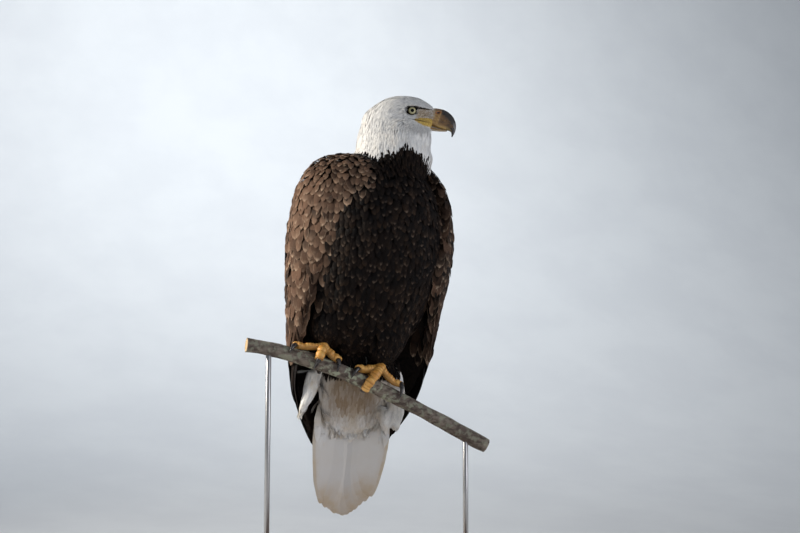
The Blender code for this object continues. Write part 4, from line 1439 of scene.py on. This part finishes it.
def make_upper_bill():
    f, r, u, up = bill_grid(UPPER_BILL, 96, 72)
    slit, sides = nostril_at(f, r, u)
    cere = smooth_step(CERE_END + 0.22 * (u - 8) - f, -0.8, 0.8)  # slants back to the gape
    growth = 0.12 * np.sin(f * 1.9 + 0.6 * u) * (1 - cere)
    hole = 2.6 * smooth_step(-slit, -4.3, -2.8) - 0.35 * hill(slit, 4.9, 1.0)
    width = r * (1 + 0.035 * cere) + np.sign(r) * (growth - hole * sides)
    rings = head_out(np.stack([f, width, u], -1))
    made = closed_object("bill_upper", rings, BILL, ("bill_upper",), "bill_horn")
    hook = smooth_step(-u, 20, 34) * (f > 66)
    ridge = smooth_step(up, -0.2, 0.65) * smooth_step(f + 8 * up, 55, 67)
    ridge = ridge + smooth_step(up, 0.35, 0.95) * smooth_step(-f, -61, -51)
    ridge = ridge + hook + 0.4 * smooth_step(f, 60, 80)
    edge = smooth_step(-up, 0.55, 0.95) * (1 - hook)
    ring_attribute(made, "bill", cere, np.clip(ridge, 0, 1), np.clip(edge, 0, 1) * 0.8)
    ring_attribute(made, "hairs", smooth_step(-f, -45.5, -41) * smooth_step(u, -14, -6))
    # the slit is painted dark as shade in the opening; the wider ring is the rusty cere.
    dark = np.maximum(smooth_step(-slit, -4.2, -2.8), 0.55 * smooth_step(-slit, -7.5, -4.4))
    ring_attribute(made, "nostril", dark * sides)


def make_lower_bill():
    f, r, u, _ = bill_grid(LOWER_BILL, 48, 48)
    cere = smooth_step(44 - f, -3, 3)
    growth = 0.12 * np.sin(f * 1.9 + 0.6 * u) * (1 - cere)
    rings = head_out(np.stack([f, r * (1 + 0.035 * cere) + np.sign(r) * growth, u], -1))
    made = closed_object("bill_lower", rings, BILL, ("bill_lower",), "bill_horn")
    ring_attribute(made, "bill", cere, 0.1 + 0.25 * smooth_step(f, 55, 66), 0.36)
    ring_attribute(made, "hairs", smooth_step(-f, -45.5, -41) * smooth_step(u, -14, -6))


make_upper_bill()
make_lower_bill()
print("bill made")

# %% [markdown]
# ## The eyes
# An eagle's eye is large, pale yellow with a round black pupil, ringed in black, under a
# clear cornea that bulges a little. The eyeball is painted by the distance from its axis,
# and a clear coat gives the wet glint.

# %% Eyes
GAZE = 0.11  # radians that the eye looks ahead of straight out


def eye_finish():
    eye = Finish("eye", Roughness=0.25, Coat_Weight=0.1, Coat_Roughness=0.03, Specular_IOR_Level=0.1)
    off, around, _ = eye.parts("gaze")
    spokes = eye.noise(26.0, 3, eye.node("CombineXYZ", {"X": around, "Y": off}).outputs[0])
    iris = eye.cloud(spokes, 0.3, 0.7, (0.44, 0.405, 0.22), (0.62, 0.58, 0.37))
    ringed = eye.mix(eye.ramp(off, 0.50, 0.61), iris, (0.20, 0.16, 0.06))
    limbus = eye.mix(eye.ramp(off, 0.61, 0.66), ringed, (0.012, 0.010, 0.009))
    return eye.done(eye.mix(eye.ramp(off, 0.31, 0.28), limbus, (0.003, 0.003, 0.003)))


def make_eye(word, side, material):
    """A ball whose pole looks out along the head's side, with a low bulge for the cornea."""
    polar, turn = np.linspace(0.001, math.pi - 0.001, 48)[:, None], turn_round(64)
    bulge = EYE_RADIUS + 0.7 * np.exp(-((polar / 0.5) ** 2))
    f, u = bulge * np.sin(polar) * np.cos(turn), bulge * np.sin(polar) * np.sin(turn)
    out = bulge * np.cos(polar)
    across = out * math.cos(GAZE) - f * math.sin(GAZE)
    forward = f * math.cos(GAZE) + out * math.sin(GAZE)
    rings = head_out(stacked(forward + EYE_AT[0], side * (EYE_AT[1] + across), u + EYE_AT[2]))
    made = closed_object(f"eye_{word}", rings, material, (f"eye_{word}",), "eye")
    ring_attribute(made, "gaze", np.sin(polar) + (polar > 1.57), turn / 6.283, 0.0)


EYE = eye_finish()
for word, side in SIDES:
    make_eye(word, -side, EYE)
print("eyes made")

# %% [markdown]
# ## Feet
# A toe is a padded tube that bends over the branch. Horny plates lie across its top like
# roof tiles, and the pads beneath are pebbled. Toes and shank are fused by a fine remesh, so
# the foot is one skin, and then each point finds the toe it is on to raise its plates.

# %% Toe paths
FOOT_X, HUB_HEIGHT = {"right": -97, "left": 8}, {"right": 32, "left": 38}
HIP, SHANK_LENGTH, TOE_RADIUS = (50, -4, 165), 70, 8.2
TOES = {  # for each foot how far along the branch, the angle where it ends and its lift
    "inner": {"right": (30, 38, 0), "left": (37, 40, 0), "thick": 1.0, "claw": 32},
    "middle": {"right": (-4, 82, 0), "left": (13, 132, 0), "thick": 1.2, "claw": 31},
    "outer": {"right": (-48, 27, 0), "left": (-42, 27, 8), "thick": 0.9, "claw": 27},
    "hind": {"right": (8, -104, 0), "left": (8, -104, 0), "thick": 1.0, "claw": 40},
}


def grip_point(foot_x, along, angle, reach):
    x = (foot_x + along) * MM
    way = perch_up(x) * math.cos(angle) + Vector((0, -1, 0)) * math.sin(angle)
    return perch_point(x) + reach * MM * way


def toe_path(word, toe_name, side, steps):
    toe = TOES[toe_name]
    run, end, rise = toe[word]
    path, radii = [], []
    for share in np.linspace(0, 1, steps).tolist():
        angle = math.radians(8 * math.copysign(1, end) * (1 - share) + end * share)
        along = -side * run * math.sin(share * math.pi / 2)
        joint = 0.5 + 0.5 * math.cos(share * 3 * 2 * math.pi)
        thick = TOE_RADIUS * toe["thick"] * (1.0 - 0.14 * share) * (0.88 + 0.14 * joint)
        clear = PERCH_RADIUS / MM + thick + rise * share
        reach = clear + (HUB_HEIGHT[word] - clear) * max(0.0, 1 - share / 0.55) ** 1.5
        path.append(grip_point(FOOT_X[word], along, angle, reach))
        radii.append(thick * MM)
    return np.array(path), np.array(radii)


def leg_path(word, side):
    """Shank from the pad of the foot up into the feathers."""
    hip = Vector(place(side * HIP[0], HIP[1], HIP[2]))
    pad = grip_point(FOOT_X[word], 0, 0.0, HUB_HEIGHT[word] - 6)
    top = pad + (hip - pad).normalized() * SHANK_LENGTH * MM
    shares = np.linspace(0, 1, 24)
    radii = np.interp(shares, (0, 0.12, 0.3, 0.5, 0.75, 1), (10.5, 10.5, 8.6, 8, 9, 10)) * MM
    return np.array([pad.lerp(top, s) for s in shares.tolist()]), radii


def tube_points(path, radii, columns):
    """Rings square to a path, in the way the solids' own tubes are made."""
    way = unit(np.gradient(path, axis=0))
    side = np.cross(way, [0, 0, 1.0])
    side = unit(np.where(np.linalg.norm(side, axis=-1, keepdims=True) < 0.2, [1.0, 0, 0], side))
    over, angle = np.cross(side, way), turn_round(columns)[None, :, None]
    ring = side[:, None] * np.cos(angle) + over[:, None] * np.sin(angle)
    return path[:, None] + ring * np.asarray(radii)[:, None, None]


print("toes:", len(TOES), "a foot")

# %% Foot skin
FOOT_VOXEL, SCUTE = 0.95 * MM, 5.8 * MM  # size of the net, length of one plate


def foot_finish():
    hide = Finish("foot_skin", Specular_IOR_Level=0.45, Subsurface_Weight=0.06, Subsurface_Scale=0.003)
    groove, top, dirt_and_shade = hide.parts("scutes")
    patch = hide.ramp(hide.noise(70.0, 4), 0.3, 0.75)
    yellow = hide.mix(patch, (0.52, 0.235, 0.045), (0.74, 0.42, 0.12))
    # The sides facing the branch are a darker orange and darker still in patches: partly dirt and partly
    # painted shade.
    under = hide.mix(top, (0.36, 0.18, 0.04), yellow)
    broken = hide.times(groove, hide.ramp(hide.noise(90.0, 3), 0.25, 0.6, 0.35, 1.0))
    lines = hide.mix(broken, under, (0.27, 0.115, 0.014))
    soil_and_shade = hide.times(dirt_and_shade, hide.ramp(hide.noise(210.0, 4), 0.5, 0.75), clamp=True)
    colour = hide.mix(soil_and_shade, lines, (0.16, 0.10, 0.05))
    pebbles = hide.node("TexVoronoi", {"Vector": hide.where(), "Scale": 620.0})
    grain = hide.times(pebbles.outputs["Distance"], -1.0)
    return hide.done(colour, hide.ramp(patch, 0.0, 1.0, 0.38, 0.55), hide.bump(grain, 0.3, 0.5))


def fused_foot(paths):
    """Closed tubes along the toes and the shank, fused into one skin."""
    points, faces = [], []
    for path, radii in paths.values():
        path = np.vstack([path, path[-1:] + (path[-1] - path[-2]) * 0.5])
        flat, sides = capped(tube_points(path, np.append(radii, radii[-1] * 0.72), 28))
        faces += [[len(points) + i for i in face] for face in sides]
        points += flat.tolist()
    return remeshed(mesh_data("foot", points, faces, outward=True), FOOT_VOXEL, 4)


def on_toes(points, paths):
    """How far along its toe each point is, and how much it faces away from the branch."""
    best, travel, topness = np.full(len(points), 1e9), np.zeros(len(points)), np.zeros(len(points))
    for name, (path, radii) in paths.items():
        run = np.concatenate([[0], np.cumsum(np.linalg.norm(np.diff(path, axis=0), axis=1))])
        tree = point_tree(path)
        nearest = np.array([tree.find(p)[1] for p in points])
        away = points - path[nearest]
        gap = np.linalg.norm(away, axis=1) - radii[nearest]
        way = unit(np.gradient(path, axis=0))
        outward = np.broadcast_to([0.0, -1.0, 0.0], path.shape)
        if name != "leg":
            outward = level(path - np.array([perch_point(p[0]) for p in path]), way)
        closer = gap < best
        best[closer] = gap[closer]
        travel[closer] = (run[nearest] + (away * way[nearest]).sum(1))[closer]
        topness[closer] = (unit(away) * outward[nearest]).sum(1)[closer]
    return travel, topness


FOOT = foot_finish()
print("foot skin:", FOOT.name)

# %% Feet
def make_foot(word, side):
    paths = {name: toe_path(word, name, side, 60) for name in TOES}
    paths["leg"] = leg_path(word, side)
    data = fused_foot(paths)
    points, normals = read(data), read(data, "normal")
    travel, topness = on_toes(points, paths)
    phase, top = (travel / SCUTE) % 1, smooth_step(topness, 0.05, 0.5)
    plate = 0.5 * smooth_step(phase, 0, 0.25) - 0.25 * smooth_step(phase, 0.5, 1.0)
    groove = hill(np.minimum(phase, 1 - phase), 0, 0.09) * top
    points += normals * ((plate - 0.25) * top * 1.5 * MM)[:, None]
    faces = [list(p.vertices) for p in data.polygons]
    nodes = [f"toe_{word}_{name}" for name in TOES] + [f"shank_{word}"]
    made = mesh_object(f"foot_{word}", points, faces, FOOT, nodes, "foot_skin")
    # the third number darkens the sides that face the branch: dirt and painted shade.
    attribute(made, "scutes", groove, top, smooth_step(-topness, -0.2, 0.9))
    print(f"foot_{word}:", len(faces), "faces")


for word, side in SIDES:
    make_foot(word, side)

# %% [markdown]
# Talons are smooth black hooks that leave each toe's end and curl on round the branch.

# %% Talons
TALON_STEPS = 31


def talon_finish():
    horn = Finish("talon_horn", Coat_Weight=0.35, Coat_Roughness=0.15)
    streak = horn.noise(160.0, 4)
    colour = horn.cloud(streak, 0.35, 0.75, (0.010, 0.009, 0.010), (0.05, 0.042, 0.038))
    return horn.done(colour, horn.ramp(streak, 0.3, 0.7, 0.22, 0.4), horn.bump(streak, 0.1, 0.5))


def make_talon(word, toe_name, side, material):
    run, end, rise = TOES[toe_name][word]
    bark = PERCH_RADIUS / MM
    thick = float(toe_path(word, toe_name, side, 2)[1][-1]) / MM + rise
    points, radii = [], []
    for share in np.linspace(0, 1, TALON_STEPS).tolist():
        angle = end + math.copysign(1, end) * (TOES[toe_name]["claw"] * 2.6 * share - 7)
        along = -side * run * (1 + 0.16 * share * (2 - share))
        reach = (bark + thick * 0.96) * (1 - share) + (bark + 1.9) * share
        points.append(grip_point(FOOT_X[word], along, math.radians(angle), reach))
        radii.append((4.9 * (1 - share) ** 0.8 + 0.3) * MM)
    name = f"talon_{word}_{toe_name}"
    closed_object(name, tube_points(np.array(points), radii, 20), material, (name,), "talon_horn")


TALON = talon_finish()
for word, side in SIDES:
    for toe_name in TOES:
        make_talon(word, toe_name, side, TALON)
print("talons made")

# %% [markdown]
# ## The branch
# It is a maple branch about as thick as a thumb, with thin grey bark that wrinkles across
# old twig scars and carries crusts of lichen. The saw cuts at its ends show the rings.

# %% Bark
def bark_finish():
    bark = Finish("bark", Specular_IOR_Level=0.2)
    ridges, ends, lichen = bark.parts("bark")
    wide = bark.noise(24.0, 5)
    fine = bark.noise(170.0, 5, bark.where((0.5, 1, 1)))
    grey = bark.cloud(wide, 0.3, 0.7, (0.10, 0.075, 0.065), (0.235, 0.20, 0.165))
    worn = bark.mix(bark.ramp(fine, 0.35, 0.75), grey, (0.055, 0.042, 0.036))
    crust = bark.times(lichen, bark.ramp(bark.noise(85.0, 5), 0.48, 0.60), clamp=True)
    grown = bark.mix(crust, worn, (0.34, 0.36, 0.27))
    cut = bark.cloud(ridges, 0.0, 1.0, (0.52, 0.38, 0.22), (0.36, 0.24, 0.13))
    height = bark.maths("MULTIPLY_ADD", fine, 0.8, bark.times(crust, 0.6))
    rough = bark.ramp(wide, 0.3, 0.7, 0.75, 0.95)
    return bark.done(bark.mix(ends, grown, cut), rough, bark.bump(height, 0.7, 0.9))


def bark_relief(x, columns):
    """Soft lumps and fine cross wrinkles, in millimetres."""
    soft = chance.normal(0, 1, (len(x), columns))
    for span in (9, 3):
        soft = sum(np.roll(soft, k, 0) for k in range(-span, span + 1)) / (2 * span + 1)
        soft = sum(np.roll(soft, k, 1) for k in range(-1, 2)) / 3
    soft /= soft.std()
    wrinkles = np.sin(x * 1500 + 2.2 * np.sin(x * 90))[:, None] * smooth_step(soft, -0.5, 1.0)
    return 0.28 * soft + 0.10 * wrinkles


print("bark ready")

# %% Branch
CAP_SHARES = np.array([0.75, 0.5, 0.25])  # rings drawn on the saw cuts


def make_branch():
    x = np.linspace(-PERCH_HALF, PERCH_HALF, 460)
    angle = turn_round(72)[:, None]
    swell = np.where(np.abs(x) > 0.09, 1.0 + 0.05 * np.sin(x * 41) + 0.03 * np.sin(x * 97), 1.0)
    radius = PERCH_RADIUS * swell[:, None] + bark_relief(x, 72) * MM - 0.25 * MM
    points = []
    for at, far in zip(x.tolist(), radius):
        ring = np.array([0, -1.0, 0]) * np.cos(angle) + np.array(perch_up(at)) * np.sin(angle)
        points.append(np.array(perch_point(at)) + ring * far[:, None])
    points = np.array(points)
    middles = [points[k].mean(0) for k in (0, -1)]
    first, last = (m + (points[k] - m) * CAP_SHARES[:, None, None] for k, m in zip((0, -1), middles))
    rings = np.concatenate([first[::-1], points, last])
    made = closed_object("perch_branch", rings, bark_finish(), ("perch_branch",), "bark")
    ends = len(CAP_SHARES)
    year_rings = np.pad(np.zeros(len(x)), ends)
    year_rings[:ends], year_rings[-ends:] = (0.2, 0.8, 0.1), (0.1, 0.8, 0.2)
    cut = np.pad(np.zeros(len(x)), ends, constant_values=1.0)
    lichen = 0.35 + 0.65 * hill(np.pad(x, ends, mode="edge"), -0.03, 0.09)
    numbers = (np.broadcast_to(n[:, None], rings.shape[:2]) for n in (year_rings, cut, lichen))
    ring_attribute(made, "bark", *numbers)


make_branch()
print("branch made")

# %% [markdown]
# ## The stand
# A walnut board with rounded corners and an eased edge, and two satin steel rods that
# stand in turned collars, each held down by three small screws.

# %% Walnut base
BASE_WIDTH, BASE_DEPTH, BASE_TOP, BASE_CORNER = 500, 400, 24, 60
BASE_EDGE = (  # how far in from the side, height
    (2.2, 0.0), (1.0, 0.0), (0.3, 0.4), (0, 1.5), (0, 17), (0, 19), (0.4, 20.8), (1.6, 22.4),
    (3.2, 23.5), (5, 24), (8, 24),
)


def walnut_finish():
    wood = Finish("walnut", Coat_Weight=0.15, Coat_Roughness=0.3)
    figure = wood.noise(2.1, 4, wood.where((2.2, 26, 26)))
    given = {"Vector": wood.where((0.8, 10, 10)), "Scale": 1.1, "Distortion": 5.0, "Detail": 3.0}
    wave = wood.node("TexWave", given, bands_direction="Y")
    grain = wood.noise(55.0, 4, wood.where((1.0, 30, 30)))
    base = wood.cloud(figure, 0.3, 0.7, (0.085, 0.040, 0.020), (0.20, 0.105, 0.052))
    banded = wood.mix(wood.times(wave.outputs["Fac"], 0.45), base, (0.050, 0.024, 0.013))
    pores = wood.mix(wood.ramp(grain, 0.60, 0.75), banded, (0.028, 0.014, 0.009))
    return wood.done(pores, wood.ramp(grain, 0.3, 0.8, 0.36, 0.52), wood.bump(grain, 0.12, 0.5))


def board_ring(inset, z):
    ring, radius = [], BASE_CORNER - inset
    for corner, (sx, sy) in enumerate(((1, 1), (-1, 1), (-1, -1), (1, -1))):
        for k in range(13):
            angle = math.radians(90 * corner + 7.5 * k)
            ring.append((sx * (BASE_WIDTH / 2 - BASE_CORNER) + radius * math.cos(angle),
                         sy * (BASE_DEPTH / 2 - BASE_CORNER) + radius * math.sin(angle), z))
    return ring


board = np.array([board_ring(inset, z) for inset, z in BASE_EDGE]) * MM
closed_object("stand_base_board", board, walnut_finish(), ("stand_base",), "stand_wood")
print("board made")

# %% Steel rods, collars and screws
ROD_RADIUS, ROD_X, COLLAR_RADIUS, SCREW_CIRCLE = 5, (-190, 190), 15, 10.6
FLOOR = BASE_TOP + 0.4
COLLAR_PROFILE = [  # radius, height above the board
    (ROD_RADIUS + 0.3, 0), (COLLAR_RADIUS, 0), (COLLAR_RADIUS, 3.6), (COLLAR_RADIUS - 0.5, 4.4),
    (COLLAR_RADIUS - 6.5, 5.2), (ROD_RADIUS + 1.6, 5.6), (ROD_RADIUS + 0.3, 5.4),
]
SCREW_PROFILE = [(1.9, 4.2), (1.9, 5.1), (1.3, 5.6), (0.6, 5.6), (0.6, 5.1)]


def steel_finish():
    steel = Finish("satin_steel", Metallic=1.0)
    brushed = steel.noise(30.0, 3, steel.where((30, 30, 1200)))
    colour = steel.cloud(brushed, 0.3, 0.7, (0.30, 0.30, 0.31), (0.42, 0.42, 0.43))
    return steel.done(colour, steel.ramp(brushed, 0.3, 0.7, 0.24, 0.38), steel.bump(brushed, 0.03, 0.4))


def turned(name, x, y, profile, columns, replaces=()):
    """A turned piece: (radius, height) pairs spun round an upright axis, in millimetres."""
    angle = turn_round(columns)
    rings = [stacked(x + r * np.cos(angle), y + r * np.sin(angle), FLOOR + z) for r, z in profile]
    closed_object(name, np.array(rings) * MM, STEEL, replaces, "stand_steel")


STEEL = steel_finish()
for word, x in zip(("right", "left"), ROD_X):
    y, top = perch_point(x * MM).y / MM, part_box(f"stand_rod_{word}")[1].z / MM - FLOOR
    rod = [(ROD_RADIUS - 0.3, 0), (ROD_RADIUS, 0.3), (ROD_RADIUS, top - 1), (ROD_RADIUS - 0.4, top)]
    turned(f"stand_rod_{word}_steel", x, y, rod, 40, (f"stand_rod_{word}",))
    turned(f"stand_collar_{word}", x, y, COLLAR_PROFILE, 48, (f"stand_flange_{word}",))
    for k in range(3):
        a = math.radians(90 + 120 * k)
        screw_x, screw_y = x + SCREW_CIRCLE * math.cos(a), y + SCREW_CIRCLE * math.sin(a)
        turned(f"stand_screw_{word}_{k}", screw_x, screw_y, SCREW_PROFILE, 16)
print("stand made")
